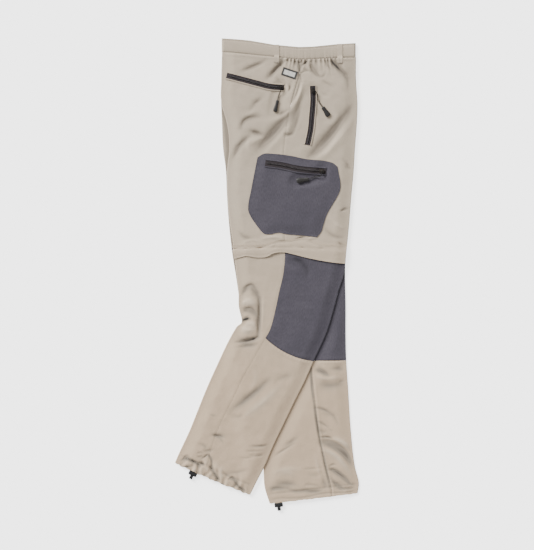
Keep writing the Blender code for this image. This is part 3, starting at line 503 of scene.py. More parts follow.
def all_folds(folds, creases, marks):
    """Every fold of a leg, its reach as it is here."""
    rows = np.array(folds + creases, float)
    rows[:, 6] *= SHARP
    return np.vstack([rows, from_grid(marks)])


RIGHT = Leg(
    "right", RIGHT_LEG, RIGHT_SEAMS, all_folds(RIGHT_FOLDS, RIGHT_CREASES, RIGHT_MARKS),
    np.vstack([RIGHT_SLITS, from_grid(RIGHT_OPENINGS)]),
)
LEFT = Leg("left", LEFT_LEG, LEFT_SEAMS, all_folds(LEFT_FOLDS, LEFT_CREASES, LEFT_MARKS), LEFT_SLITS)
LEGS = {"right": RIGHT, "left": LEFT}


def curve_distance(points, fold):
    """Distance to a bent line through three places, and how far along it, from 0 to 1."""
    t = np.linspace(0, 1, 13)[:, None]
    start, middle, end = fold[0:2], fold[2:4], fold[4:6]
    bend = 2 * middle - (start + end) / 2
    line = (1 - t) ** 2 * start + 2 * t * (1 - t) * bend + t * t * end
    best = np.full(len(points), 1e9)
    share = np.zeros(len(points))
    for k in range(len(line) - 1):
        step = line[k + 1] - line[k]
        s = np.clip((points - line[k]) @ step / (step @ step), 0, 1)
        away = np.linalg.norm(points - line[k] - s[:, None] * step, axis=1)
        near = away < best
        best[near] = away[near]
        share[near] = (k + s[near]) / (len(line) - 1)
    return best, share


def fold_relief(points, folds):
    total = np.zeros(len(points))
    for fold in folds:
        low = np.minimum.reduce([fold[0:2], fold[2:4], fold[4:6]]) - 3.5 * fold[6]
        high = np.maximum.reduce([fold[0:2], fold[2:4], fold[4:6]]) + 3.5 * fold[6]
        near = np.flatnonzero(((points > low) & (points < high)).all(axis=1))
        if len(near):
            away, share = curve_distance(points[near], fold)
            fade = 0.3 + 0.7 * np.sin(np.pi * share)
            near_shape = np.exp(-np.abs(away / fold[6]) ** 1.6)
            total[near] += DEEP * fold[7] * fade * near_shape
    return total


def slit_shade(points, slits):
    """How dark the deep openings of folds are painted, as shade."""
    total = np.zeros(len(points))
    for slit in slits:
        away, share = curve_distance(points, slit)
        total -= slit[7] * np.exp(-((away / slit[6]) ** 2)) * np.sin(np.pi * (0.08 + 0.84 * share))
    return total


def waist_seam(leg):
    """The line where a leg meets the waistband, from the back fold to the front one."""
    return [leg.table[0, k : k + 2] for k in (0, 2, 4)]


def waist_relief(points, leg):
    below = points[:, 1] - height_at(waist_seam(leg), points[:, 0])
    total = np.zeros(len(points))
    for along, length, depth in WAIST_GATHERS:
        slant = along + (along - 100) * 0.12 * below / 30
        hollow = np.exp(-(((points[:, 0] - slant) / WAIST_GATHER_REACH) ** 2))
        total -= depth * hollow * (1 - ease(below / length))
    spread = points[:, 0] - (points[:, 0] - 100) * 0.10 * below / 30
    held = 1 - ease((np.abs(spread - 102) - 58) / 14)
    phase = spread * 2 * math.pi / 9.6 + 2.1 * np.sin(spread / 11.0) + 0.5 * np.sin(spread / 4.3)
    run = 9 + 5 * np.sin(spread / 7.0) ** 2
    return total + 2.3 * held * np.sin(phase) * np.exp(-np.clip(below, 0, None) / run)


def hem_relief(points, leg):
    """Gathers that run up from a drawn hem, and the stitched channel's dip."""
    row = leg.table[-1]
    back, front = row[0:2], row[4:6]
    width = np.linalg.norm(front - back)
    across = (front - back) / width
    up = np.array([across[1], -across[0]])
    height = np.abs((points - back) @ up)
    total = -0.9 * np.exp(-(((height - HEM_CHANNEL) / 2.2) ** 2))
    if leg is LEFT:
        total -= 1.1 * np.exp(-(((height - 7 - 2 * np.sin(points[:, 0] / 17)) / 1.8) ** 2))
    if leg is RIGHT:
        for share, length, depth in HEM_GATHERS:
            bend = 4 * np.sin(height / 9 + share * 20)
            off = (points - back) @ across - share * width + bend
            total -= depth * np.exp(-((off / HEM_GATHER_REACH) ** 2)) * (1 - ease(height / length))
            puff = np.exp(-(((off - 7) / HEM_GATHER_REACH) ** 2)) * (1 - ease(height / length))
            total += 0.7 * depth * puff
    return total


def uneven(points):
    """Low waves in several directions, each a little off the others' pitch."""
    total = np.zeros(len(points))
    for k, (length, height) in enumerate(UNEVEN):
        for j in range(3):
            turn = 0.7 + 1.9 * k + 2.1 * j
            run = points @ np.array([math.cos(turn), math.sin(turn)])
            crosswise = points @ np.array([-math.sin(turn), math.cos(turn)])
            bend = np.sin(crosswise * 2 * math.pi / length / 1.7 + j)
            total += height / 2 * np.sin(run * 2 * math.pi / length + 1.6 * bend + 2.3 * j + k)
    return total


def left_back_edge(down):
    return np.interp(down, LEFT.table[:, 1], LEFT.table[:, 0])


def right_front_edge(down):
    return np.interp(down, RIGHT.table[:, 5], RIGHT.table[:, 4])


def right_back_edge(down):
    return np.interp(down, RIGHT.table[:, 1], RIGHT.table[:, 0])


def base(points, leg):
    """The height of a leg's underside: the right leg lies on the left one, then on the floor."""
    if leg is LEFT:
        return np.zeros(len(points))
    past = left_back_edge(points[:, 1]) - points[:, 0]
    return (LEG + GAP) * (1 - ease((past - DROP_START) / DROP_RUN))


def relief(points, leg, from_edge):
    """How far a leg's upper side stands up above its flat height, and the shade painted into its colour:
    darker in troughs and fold openings, lighter on ridges.
    """
    creases = fold_relief(points, leg.folds) + hem_relief(points, leg)
    if leg is RIGHT:
        creases += waist_relief(points, leg)
    loose = LOFT * ease(from_edge / LOFT_EDGE) + uneven(points) * ease(from_edge / LOFT_EDGE)
    fade = ease(from_edge / (LOFT_EDGE * 0.5))
    if leg is LEFT:
        clear = points[:, 0] - right_front_edge(points[:, 1]) - CLEAR_START
        loose = loose * 0.7 * ease(clear / LOFT_EDGE)
        fade = fade * ease(clear / LOFT_EDGE * 1.5)
    lift = loose + creases * fade
    if leg is RIGHT:
        press = pressed(points)
        lift = lift * (1 - press) + np.minimum(lift, PRESSED_LIFT) * press
    slits = slit_shade(points, leg.slits)
    # Painted shade and painted highlight from the folds, and painted shade in the fold openings.
    shade = creases * fade + slits
    # Painted shadow on the left leg along the right leg's back edge, which lies over it.
    if leg is LEFT:
        shade -= 3.4 * np.exp(-(((points[:, 0] - right_back_edge(points[:, 1])) / 7) ** 2))
    return np.maximum(lift + 0.25 * slits * fade, 0.05 * lift), shade


def pressed(points):
    """1 under a zip pull, which presses the cloth down, falling to 0 beside it."""
    total = np.zeros(len(points))
    for zipper in ZIPS.values():
        line = np.array([zipper["slider"], *zipper["cord"], zipper["grip"][1]], float)
        for start, end in zip(line[:-1], line[1:]):
            step = end - start
            share = np.clip((points - start) @ step / (step @ step), 0, 1)
            away = np.linalg.norm(points - start - share[:, None] * step, axis=1)
            total = np.maximum(total, 1 - ease((away - 9) / 14))
    return total


def seam_dip(distance, along):
    """The groove at a seam, the ridge of its turned-in edge, and small puckers along it."""
    height, pitch = PUCKER
    ridge = 0.55 * np.exp(-(((distance - 5.0) / 3.0) ** 2)) - 0.7 * np.exp(-((distance / 1.6) ** 2))
    waves = np.sin(along * 2 * math.pi / pitch + 1.5 * np.sin(along / 23.0))
    pucker = height * waves * np.exp(-((distance / 7.0) ** 2))
    return ridge + pucker


def wall(name, outside, inside, weave, shade):
    """A closed wall from two grids of points in millimetres, with the cloth's own directions on it."""
    rows, columns = outside.shape[:2]
    points = place(np.concatenate([outside.reshape(-1, 3), inside.reshape(-1, 3)]))
    index = np.arange(rows * columns).reshape(rows, columns)
    a, b, c, d = index[:-1, :-1], index[:-1, 1:], index[1:, 1:], index[1:, :-1]
    upper = np.stack([a, b, c, d], axis=-1).reshape(-1, 4)
    lower = upper[:, ::-1] + rows * columns
    ring = np.concatenate([index[0, :-1], index[:-1, -1], index[-1, :0:-1], index[:0:-1, 0]])
    after = np.roll(ring, -1)
    rim = np.stack([after, ring, ring + rows * columns, after + rows * columns], axis=-1)
    faces = np.concatenate([upper, lower, rim])
    corner = points[faces]
    volume = np.einsum("ij,ij->i", corner[:, 0], np.cross(corner[:, 1], corner[:, 2])).sum()
    volume += np.einsum("ij,ij->i", corner[:, 0], np.cross(corner[:, 2], corner[:, 3])).sum()
    if volume < 0:
        faces = faces[:, ::-1]
    mesh = bpy.data.meshes.new(name)
    mesh.from_pydata(points.tolist(), [], faces.tolist())
    direction = mesh.attributes.new("weave", "FLOAT_VECTOR", "POINT")
    flat = np.concatenate([weave.reshape(-1, 2)] * 2) * MM
    vectors = np.column_stack([flat, np.zeros(len(flat))])
    direction.data.foreach_set("vector", vectors.ravel().astype(np.float32))
    # Painted shade of the creases, fold openings and seams, for the cloth's colour; on the label it holds
    # the printed border instead.
    crease = mesh.attributes.new("crease", "FLOAT", "POINT")
    crease.data.foreach_set("value", np.concatenate([shade.ravel()] * 2).astype(np.float32))
    mesh.shade_smooth()
    mesh.set_sharp_from_angle(angle=math.radians(55))
    thing = bpy.data.objects.new(name, mesh)
    bpy.context.collection.objects.link(thing)
    return thing


def section_keys(outer, fold, inner):
    """Keys across a panel: 0 to 1 on the outer side, 1 to 2 round the fold, 2 to 3 on the inner side."""
    over = np.linspace(0, 1, outer + 1)[:-1]
    round_fold = np.linspace(1, 2, fold + 1)[:-1]
    under = np.linspace(2, 3, inner + 1)
    return np.concatenate([over, round_fold, under])


def panel_grid(leg, side, alongs, keys, seamed=(True, True)):
    """Outside and inside points of a panel, the cloth's own directions, and the shade painted into its
    colour at creases and seams.
    """
    lines = leg.lines(alongs)
    back = np.stack([lines["back_x"], lines["back_down"]], axis=-1)
    front = np.stack([lines["front_x"], lines["front_down"]], axis=-1)
    seam = np.stack([lines["seam_x"], lines["seam_down"]], axis=-1)
    inseam = back + (front - back) * lines["inseam"][:, None]
    edge = front if side == "front" else back
    out = (edge - seam) / np.linalg.norm(edge - seam, axis=1)[:, None]
    down_leg = np.stack([-out[:, 1], out[:, 0]], axis=-1) * (1 if side == "front" else -1)
    middle = edge - out * LEG / 2
    rise = ease((edge[:, 1] - RISE_DOWN) / (CROTCH_DOWN - RISE_DOWN))[:, None] ** 1.5
    inner_end = middle - out * ALLOWANCE
    inner_end = inner_end + (inseam + out * GAP / 2 - inner_end) * rise
    outer_start = seam + out * GAP / 2
    shift = np.zeros(len(alongs))
    shift[0], shift[-1] = GAP / 2, -GAP / 2
    outer_length = np.linalg.norm(middle - outer_start, axis=1)[:, None]
    inner_length = np.linalg.norm(inner_end - middle, axis=1)[:, None]
    k = keys[None, :]
    outer, turn = k <= 1, (np.clip(k, 1, 2) - 1) * math.pi
    bow = np.zeros((len(alongs), len(keys)))
    if side == "front":
        bow = lines["bow"][:, None] * 4 * k * (1 - k) * outer
    across = np.where(outer, (k - 1) * outer_length, np.where(k >= 2, -(k - 2) * inner_length, 0.0))
    level = np.where(outer, 1.0, np.where(k >= 2, -1.0, np.cos(turn)))
    level = np.broadcast_to(level * (1 if OUTER_UP[leg.side] else -1), across.shape)
    sides, creases = [], None
    from_hem = (leg.seams["hem"] - alongs)[:, None]
    wave = np.sin(across / 2.6 + 2 * np.sin(across / 13)) + 0.8 * np.sin(across / 6.1 + 1)
    shift = shift[:, None] - wave * HEM_WAVE[leg.side] * (1 - ease(from_hem / 14))
    for radius in (LEG / 2, LEG / 2 - CLOTH):
        off = across + np.where((k > 1) & (k < 2), radius * np.sin(turn), 0.0)
        plan = middle[:, None] + out[:, None] * off[..., None] + down_leg[:, None] * (bow + shift)[..., None]
        flat = plan.reshape(-1, 2)
        from_edge = np.maximum(0, -across).reshape(-1)
        lift, crease = relief(flat, leg, from_edge)
        seam_away = np.where(outer, across + outer_length, FAR_OFF)
        seam_away = seam_away + np.where(k >= 2, across + inner_length - FAR_OFF, 0.0)
        run = np.broadcast_to(alongs[:, None], seam_away.shape)
        quiet = 1 - (0.6 * ease((run - 90) / 40) + 0.2 * ease((run - 460) / 60)) * (leg is RIGHT)
        dips = seam_dip(seam_away, run) * quiet
        for end, wanted in zip((0, -1), seamed):
            if wanted:
                dips = dips + seam_dip(np.abs(alongs - alongs[end])[:, None] + 0 * k, across + 300.0)
        up = (level > 0.5).reshape(-1)
        lift = (lift + dips.reshape(-1) * ease(from_edge / 12)) * up
        if leg is LEFT:
            lift = lift * ease((flat[:, 0] - right_front_edge(flat[:, 1]) - CLEAR_START) / 10)
        height = base(flat, leg) + LEG / 2 + level.reshape(-1) * radius + lift
        sides.append(np.column_stack([flat, height]).reshape(len(alongs), len(keys), 3))
        # Painted shade: the creases' shade, and more in the grooves of the seams.
        creases = (crease + 0.6 * np.minimum(dips.reshape(-1), 0)) * up if creases is None else creases
    arc = LEG / 2 * (np.clip(k, 1, 2) - 1) * math.pi
    weave = np.stack([across * np.where(outer, 1, -1) + arc, run], axis=-1)
    area = np.gradient(alongs) * (outer_length + inner_length + LEG / 2 * math.pi)[:, 0]
    width = (outer_length + inner_length).max() * MM + LEG * MM * 1.6
    cut = (width, (alongs[-1] - alongs[0]) * MM, area.sum() * MM * MM)
    return (*sides, weave, creases.reshape(len(alongs), len(keys)), cut)


def panel(name, side, half, start, end, seamed=(True, True)):
    """A panel from one seam to another down the leg, and the size that it was cut to."""
    leg = LEGS[side]
    length = leg.seams[end] - leg.seams[start]
    widths = (190, 130) if side == "right" else (110, 135)
    if half == "front":
        widths = (150, 70) if side == "right" else (110, 110)
    top, low, step = (FINE, COARSE, FINE) if side == "right" else (COARSE, FINE, FINE)
    if side == "left" and start == "waist":
        low, step = HIDDEN, HIDDEN
    keys = section_keys(round(widths[0] / top), 6, round(widths[1] / low))
    alongs = np.linspace(leg.seams[start], leg.seams[end], 1 + round(length / step))
    outside, inside, weave, crease, cut = panel_grid(leg, half, alongs, keys, seamed)
    return wall(name, outside, inside, weave, crease), cut


def band(name, leg):
    """Half of the waistband, from centre back to centre front, its ends turned to meet the other half."""
    middle = STACK / 2
    turn = np.radians(np.linspace(88, 10, 8))
    heights = np.linspace(0, 1, 26)
    back, front = BAND_TOP[0][0], BAND_TOP[-1][0]
    count = 150 if leg is RIGHT else 40
    sides = []
    for radius in (middle, middle - CLOTH):
        flat = np.linspace(back + middle, front - middle, count)
        back_fold = back + middle - radius * np.sin(turn)
        front_fold = front - middle + radius * np.sin(turn[::-1])
        xs = np.concatenate([back_fold, flat, front_fold])
        level = np.concatenate([radius * np.cos(turn), np.full(count, radius), radius * np.cos(turn[::-1])])
        x = np.broadcast_to(xs, (len(heights), len(xs)))
        seam = height_at(waist_seam(leg), xs) - GAP
        down = seam + (height_at(BAND_TOP, xs) - seam) * heights[:, None]
        swell = 1.1 * np.sin(math.pi * heights) ** 0.5
        swell = swell - 0.7 * np.exp(-(((heights - 0.88) / 0.06) ** 2))
        swell = swell - 0.5 * np.exp(-((heights / 0.07) ** 2))
        elastic = np.exp(-((np.clip(np.abs(xs - 100) - 62, 0, None) / 8) ** 2))
        ribs = 0.30 * np.sin(xs * 2 * math.pi / 6.7 + 1.7 * np.sin(xs / 9.0))
        ribs = ribs + 0.18 * np.sin(xs * 2 * math.pi / 15 + 1)
        rows = -0.35 * np.sin(heights * math.pi * 8) ** 2
        swell = swell[:, None] + rows[:, None] * elastic
        lift = (swell + (elastic * ribs)[None, :] * (1.1 - heights[:, None])) * (level >= radius - 0.01)
        lift = lift + 0.3 * np.sin(x / 31.0 + 2 * heights[:, None]) * (level >= radius - 0.01)
        z = middle + level + lift if leg is RIGHT else middle - level
        sides.append(np.stack([x, down, np.broadcast_to(z, x.shape)], axis=-1))
    weave = np.stack([x, down], axis=-1)
    cut = ((front - back + STACK) * MM, BAND_HEIGHT * MM, None)
    # Painted shade where the band stands lower: near its edges and in its grooves.
    return wall(name, *sides, weave, np.minimum(lift - 1, 0) * 0.5 + 0 * x), cut


class Surface:
    """The highest cloth under a place, for what is laid on it."""

    def __init__(self, things):
        self.trees = []
        for thing in things:
            self.add(thing)

    def add(self, thing):
        graph = bpy.context.evaluated_depsgraph_get()
        self.trees.append(BVHTree.FromObject(thing, graph))

    def top(self, x, down, around=0.0):
        """The highest point, in millimetres, within a distance of the place."""
        best = 0.0
        spots = [(0.0, 0.0)]
        if around:
            angles = np.linspace(0, 2 * math.pi, 7)[:-1]
            spots += [(around * math.cos(a), around * math.sin(a)) for a in angles]
        for dx, dd in spots:
            start = Vector(((x + dx) * MM, (MIDDLE_DOWN - down - dd) * MM, 0.2))
            for tree in self.trees:
                hit = tree.ray_cast(start, Vector((0, 0, -1)))[0]
                if hit:
                    best = max(best, hit.z / MM)
        return best


def settle(height, times):
    """Evens out a grid of heights without letting any of them fall."""
    for _ in range(times):
        padded = np.pad(height, 1, mode="edge")
        mean = (padded[:-2, 1:-1] + padded[2:, 1:-1] + padded[1:-1, :-2] + padded[1:-1, 2:]) / 4
        height = np.maximum(height, mean)
    return height


def laid(name, grid, surface, thick, puff=None, times=2, lift=0.15, stand=0.0):
    """A thin piece laid on the cloth. grid holds (x, down) points; puff is the height added to each.

    stand raises both sides of the piece, where its edge stands off the cloth.
    """
    grid = np.array(grid, float)
    reach = max(np.linalg.norm(np.diff(grid, axis=way), axis=2).max() for way in (0, 1))
    low = np.array([[surface.top(x, d, reach) + lift for x, d in line] for line in grid])
    low = settle(low, times) + stand
    rise = np.zeros(low.shape) if puff is None else puff
    outside = np.concatenate([grid, (low + thick + rise)[..., None]], axis=-1)
    inside = np.concatenate([grid, low[..., None]], axis=-1)
    # Where the puff is below nothing, the colour is painted darker as shade.
    thing = wall(name, outside, inside, grid, np.minimum(rise, 0))
    surface.add(thing)
    return thing


def ribbon(line, width, count, across):
    """Rows of (x, down) along a line, with across points over the width."""
    middle = curve(line, count)
    run = np.gradient(middle, axis=0)
    run /= np.linalg.norm(run, axis=1)[:, None]
    side = np.column_stack([-run[:, 1], run[:, 0]])
    return middle[:, None] + side[:, None] * width * np.linspace(-0.5, 0.5, across)[None, :, None]


def patch(top, bottom, back, front, rows, columns):
    """A grid fitted between four sides."""
    up, low = curve(top, columns)[None], curve(bottom, columns)[None]
    left, right = curve(back, rows)[:, None], curve(front, rows)[:, None]
    v, u = np.linspace(0, 1, rows)[:, None, None], np.linspace(0, 1, columns)[None, :, None]
    sides = (1 - v) * up + v * low + (1 - u) * left + u * right
    corners = (1 - v) * ((1 - u) * up[:, :1] + u * up[:, -1:]) + v * ((1 - u) * low[:, :1] + u * low[:, -1:])
    return sides - corners


def rim_distance(grid):
    """How far each point of a grid lies from the grid's own outline."""
    outline = np.concatenate([grid[0], grid[:, -1], grid[-1], grid[:, 0]])
    flat = grid.reshape(-1, 2)
    return np.array([np.linalg.norm(outline - p, axis=1).min() for p in flat]).reshape(grid.shape[:2])


# Repeated small shapes

def repeat_tree(name, shape):
    """A node tree that sets one small shape at even steps along lines."""
    tree = bpy.data.node_groups.new(name, "GeometryNodeTree")
    face = tree.interface
    face.new_socket("Lines", in_out="INPUT", socket_type="NodeSocketGeometry")
    for socket in ("Pitch", "Length", "Width", "Height"):
        face.new_socket(socket, in_out="INPUT", socket_type="NodeSocketFloat")
    face.new_socket("Finish", in_out="INPUT", socket_type="NodeSocketMaterial")
    face.new_socket("Pieces", in_out="OUTPUT", socket_type="NodeSocketGeometry")
    made = {}
    for key, kind in (
        ("given", "NodeGroupInput"), ("curve", "GeometryNodeMeshToCurve"),
        ("even", "GeometryNodeResampleCurve"),
        ("copies", "GeometryNodeInstanceOnPoints"), ("tangent", "GeometryNodeInputTangent"),
        ("turn", "FunctionNodeAlignRotationToVector"), ("size", "ShaderNodeCombineXYZ"), ("shape", shape),
        ("real", "GeometryNodeRealizeInstances"), ("finish", "GeometryNodeSetMaterial"),
        ("result", "NodeGroupOutput"),
    ):
        made[key] = tree.nodes.new(kind)
    made["even"].mode = "LENGTH"
    made["turn"].axis = "X"
    if shape == "GeometryNodeMeshIcoSphere":
        made["shape"].inputs["Radius"].default_value = 0.5
        made["shape"].inputs["Subdivisions"].default_value = 1
    link = tree.links.new
    given = made["given"].outputs
    link(given["Lines"], made["curve"].inputs["Mesh"])
    link(made["curve"].outputs["Curve"], made["even"].inputs["Curve"])
    link(given["Pitch"], made["even"].inputs["Length"])
    link(made["even"].outputs["Curve"], made["copies"].inputs["Points"])
    link(made["shape"].outputs["Mesh"], made["copies"].inputs["Instance"])
    link(made["tangent"].outputs["Tangent"], made["turn"].inputs["Vector"])
    link(made["turn"].outputs["Rotation"], made["copies"].inputs["Rotation"])
    for source, axis in (("Length", "X"), ("Width", "Y"), ("Height", "Z")):
        link(given[source], made["size"].inputs[axis])
    link(made["size"].outputs["Vector"], made["copies"].inputs["Scale"])
    link(made["copies"].outputs["Instances"], made["real"].inputs["Geometry"])
    link(made["real"].outputs["Geometry"], made["finish"].inputs["Geometry"])
    link(given["Finish"], made["finish"].inputs["Material"])
    link(made["finish"].outputs["Geometry"], made["result"].inputs["Pieces"])
    return tree


def repeated(name, tree, lines, sizes, finish):
    """One plain mesh with the tree's shape repeated along every line."""
    mesh = bpy.data.meshes.new(name + "_lines")
    points, edges = [], []
    for line in lines:
        edges += [(len(points) + k, len(points) + k + 1) for k in range(len(line) - 1)]
        points += [tuple(p) for p in place(line)]
    mesh.from_pydata(points, edges, [])
    guide = bpy.data.objects.new(name + "_guide", mesh)
    bpy.context.collection.objects.link(guide)
    step = guide.modifiers.new("repeat", "NODES")
    step.node_group = tree
    known = {item.name: item.identifier for item in tree.interface.items_tree if item.in_out == "INPUT"}
    for key, value in sizes.items():
        step[known[key]] = value * MM
    step[known["Finish"]] = finish
    graph = bpy.context.evaluated_depsgraph_get()
    made = bpy.data.meshes.new_from_object(guide.evaluated_get(graph))
    bpy.data.objects.remove(guide, do_unlink=True)
    made.name = name
    made.shade_smooth()
    thing = bpy.data.objects.new(name, made)
    bpy.context.collection.objects.link(thing)
    return thing


def on_cloth(line, surface, count, up):
    """A line of (x, down) points laid on the cloth, a little above it."""
    return np.array([(x, d, surface.top(x, d) + up) for x, d in curve(line, count)])


# Finishes

class Value:
    """A shader socket that can be used in Python arithmetic."""

    def __init__(self, finish, socket):
        self.finish, self.socket = finish, socket

    def math(self, operation, *others):
        return self.finish.node("ShaderNodeMath", {"operation": operation}, self, *others)

    def __add__(self, other):
        return self.math("ADD", other)

    def __sub__(self, other):
        return self.math("SUBTRACT", other)

    def __mul__(self, other):
        return self.math("MULTIPLY", other)

    def __rsub__(self, other):
        return self.finish.node("ShaderNodeMath", {"operation": "SUBTRACT"}, other, self)

    __radd__ = __add__
    __rmul__ = __mul__

    def clamp(self, low, high):
        return self.finish.node("ShaderNodeClamp", {}, self, low, high)


class Finish:
    """A material under construction."""

    def __init__(self, name, rough, sheen=0.0, metallic=0.0):
        self.material = bpy.data.materials.new(name)
        self.material.use_nodes = True
        self.tree = self.material.node_tree
        self.shader = self.tree.nodes["Principled BSDF"]
        self.shader.inputs["Roughness"].default_value = rough
        self.shader.inputs["Metallic"].default_value = metallic
        self.shader.inputs["Sheen Weight"].default_value = sheen
        self.shader.inputs["Sheen Roughness"].default_value = 0.5

    def node(self, kind, settings, *values, output=0, **named):
        made = self.tree.nodes.new(kind)
        for key, value in settings.items():
            if key == "stops":
                while len(made.color_ramp.elements) < len(value):
                    made.color_ramp.elements.new(0.5)
                for element, (position, colour) in zip(made.color_ramp.elements, value):
                    element.position, element.color = position, colour
            else:
                setattr(made, key, value)
        slots = list(zip(made.inputs, values))
        slots += [(made.inputs[key.replace("_", " ")], v) for key, v in named.items()]
        for slot, value in slots:
            if isinstance(value, Value):
                self.tree.links.new(value.socket, slot)
            elif value is not None:
                slot.default_value = value
        return Value(self, made.outputs[output])

    def mix(self, share, first, second):
        made = self.tree.nodes.new("ShaderNodeMix")
        made.data_type = "RGBA"
        for slot, value in ((made.inputs[0], share), (made.inputs[6], first), (made.inputs[7], second)):
            if isinstance(value, Value):
                self.tree.links.new(value.socket, slot)
            else:
                slot.default_value = value
        return Value(self, made.outputs[2])

    def attribute(self, name, output):
        return self.node("ShaderNodeAttribute", {"attribute_name": name}, output=output)

    def noise(self, where, scale, detail=2.0):
        return self.node("ShaderNodeTexNoise", {}, Vector=where, Scale=scale, Detail=detail)

    def paint(self, **sockets):
        for key, value in sockets.items():
            self.tree.links.new(value.socket, self.shader.inputs[key.replace("_", " ")])

    def bump(self, height, strength, distance):
        normal = self.node("ShaderNodeBump", {}, Height=height, Strength=strength, Distance=distance)
        self.paint(Normal=normal)


def rgb(red, green, blue):
    """A colour given as it looks on a screen, from 0 to 255."""
    return (*[(c / 255) ** 2.2 for c in (red, green, blue)], 1.0)


def weave_height(finish, where, pitch):
    """A plain weave's threads, over and under, at a pitch in metres."""
    turn = 2 * math.pi / pitch
    split = finish.tree.nodes.new("ShaderNodeSeparateXYZ")
    finish.tree.links.new(where.socket, split.inputs[0])
    across, along = Value(finish, split.outputs[0]), Value(finish, split.outputs[1])
    return (across * turn).math("SINE") * (along * turn).math("SINE")


def cloth_finish(name, light, dark, fleck, grain, pitch, sheen, warm=None):
    """Woven cloth: two close shades in soft patches, flecked yarns, painted shade in the creases, near-black
    painted shade in deep fold openings, a painted highlight on the ridges and a fine weave.

    The cloth turns to the warm shade towards the hem.
    """
    made = Finish(name, 0.82, sheen)
    where = made.attribute("weave", 1)
    crease = made.attribute("crease", 2)
    patches = made.noise(where, 9.0)
    yarns = made.node("ShaderNodeTexNoise", {}, Vector=made.node(
        "ShaderNodeMapping", {}, Vector=where, Scale=(1.0, 0.28, 1.0)), Scale=grain, Detail=3.0)
    # Painted shade in the troughs and a painted highlight on the ridges, both from the painted shade values.
    hollow = (crease * -0.40).clamp(0.0, 0.9)
    rise = (crease * 0.35).clamp(0.0, 0.6)
    colour = made.mix((patches * 1.6 - 0.3).clamp(0.0, 1.0), dark, light)
    if warm:
        split = made.tree.nodes.new("ShaderNodeSeparateXYZ")
        made.tree.links.new(where.socket, split.inputs[0])
        along = Value(made, split.outputs[1])
        colour = made.mix((along * 2.2 - 0.75).clamp(0.0, 1.0), colour, warm)
    flecks = ((yarns - 0.5) * 3.0 + 0.35).clamp(0.0, 1.0) * fleck
    colour = made.mix(flecks, colour, tuple(c * 0.55 for c in dark[:3]) + (1.0,))
    colour = made.mix(hollow, colour, tuple(c * 0.55 for c in dark[:3]) + (1.0,))
    # Near-black painted shade in the deep openings of folds.
    colour = made.mix((crease * -0.30 - 1.05).clamp(0.0, 0.95), colour, rgb(34, 31, 29))
    colour = made.mix(rise, colour, tuple(min(1, c * 1.12) for c in light[:3]) + (1.0,))
    made.paint(Base_Color=colour, Roughness=0.76 + yarns * 0.14)
    threads = weave_height(made, where, pitch)
    made.bump(threads * 0.5 + yarns * 0.6, 0.35, 0.00035)
    return made.material


def hard_finish(name, colour, worn, rough, metallic=0.0):
    """Moulded or cast small pieces, slightly mottled and lighter where they are handled."""
    made = Finish(name, rough, 0.0, metallic)
    where = made.node("ShaderNodeTexCoord", {}, output=3)
    mottle = made.noise(where, 900.0, 3.0)
    marks = made.noise(where, 160.0, 2.0)
    colour = made.mix((marks * 2.0 - 0.7).clamp(0.0, 1.0), colour, worn)
    made.paint(Base_Color=colour, Roughness=rough - 0.1 + mottle * 0.2)
    made.bump(mottle, 0.2, 0.0002)
    return made.material


def tape_finish(name, colour, light):
    """A zip tape's herringbone."""
    made = Finish(name, 0.85)
    where = made.attribute("weave", 1)
    ribs = weave_height(made, where, 0.0011)
    yarns = made.noise(where, 700.0, 3.0)
    colour = made.mix((ribs * 0.5 + yarns * 0.6).clamp(0.0, 1.0), colour, light)
    made.paint(Base_Color=colour, Roughness=0.7 + yarns * 0.2)
    made.bump(ribs + yarns, 0.4, 0.0003)
    return made.material


def label_finish(name):
    """A blank woven label: a light field in a dark border."""
    made = Finish(name, 0.7, 0.3)
    inside = made.attribute("crease", 2)
    where = made.attribute("weave", 1)
    yarns = made.noise(where, 900.0, 3.0)
    field = made.mix((yarns * 1.4 - 0.3).clamp(0.0, 1.0), rgb(172, 170, 164), rgb(208, 206, 200))
    border = made.mix(yarns, rgb(28, 26, 25), rgb(48, 46, 44))
    made.paint(Base_Color=made.mix(inside.clamp(0.0, 1.0), border, field))
    made.bump(weave_height(made, where, 0.0008) + yarns, 0.4, 0.0002)
    return made.material


FINISHES = {
    "cloth": cloth_finish(
        "beige_cloth", rgb(173, 159, 140), rgb(163, 149, 131), 0.10, 900.0, 0.0009, 0.12, rgb(175, 153, 128)
    ),
    "grey_cloth": cloth_finish("grey_cloth", rgb(67, 63, 71), rgb(58, 54, 63), 0.45, 520.0, 0.0009, 0.12),
    "zip_tape": tape_finish("zip_tape", rgb(30, 22, 25), rgb(46, 37, 40)),
    "zip_metal": hard_finish("slider_lacquer", rgb(30, 26, 25), rgb(66, 60, 55), 0.45, 0.6),
    "pull": hard_finish("pull_rubber", rgb(17, 13, 10), rgb(26, 21, 17), 0.55),
    "label": label_finish("label_weave"),
    "lock": hard_finish("lock_plastic", rgb(10, 10, 11), rgb(24, 25, 27), 0.5),
    "thread": hard_finish("thread", rgb(150, 137, 121), rgb(176, 163, 145), 0.7),
    "grey_thread": hard_finish("grey_thread", rgb(70, 68, 75), rgb(96, 94, 100), 0.7),
    "coil": hard_finish("zip_coil", rgb(26, 22, 23), rgb(46, 40, 41), 0.45),
}


def dress(thing, slot, body="trousers", finish=None, nodes=()):
    thing.data.materials.clear()
    thing.data.materials.append(FINISHES[finish or slot])
    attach(thing, body)
    if nodes:
        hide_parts(*nodes)
    return thing


# Pieces

PANELS = (
    ("back_thigh", "back", "waist", "zip_top", "cloth"),
    ("front_thigh", "front", "waist", "zip_top", "cloth"),
    ("knee", "front", "zip_bottom", "knee", "grey_cloth"),
    ("shin", "front", "knee", "hem", "cloth"),
    ("calf", "back", "zip_bottom", "hem", "cloth"),
)


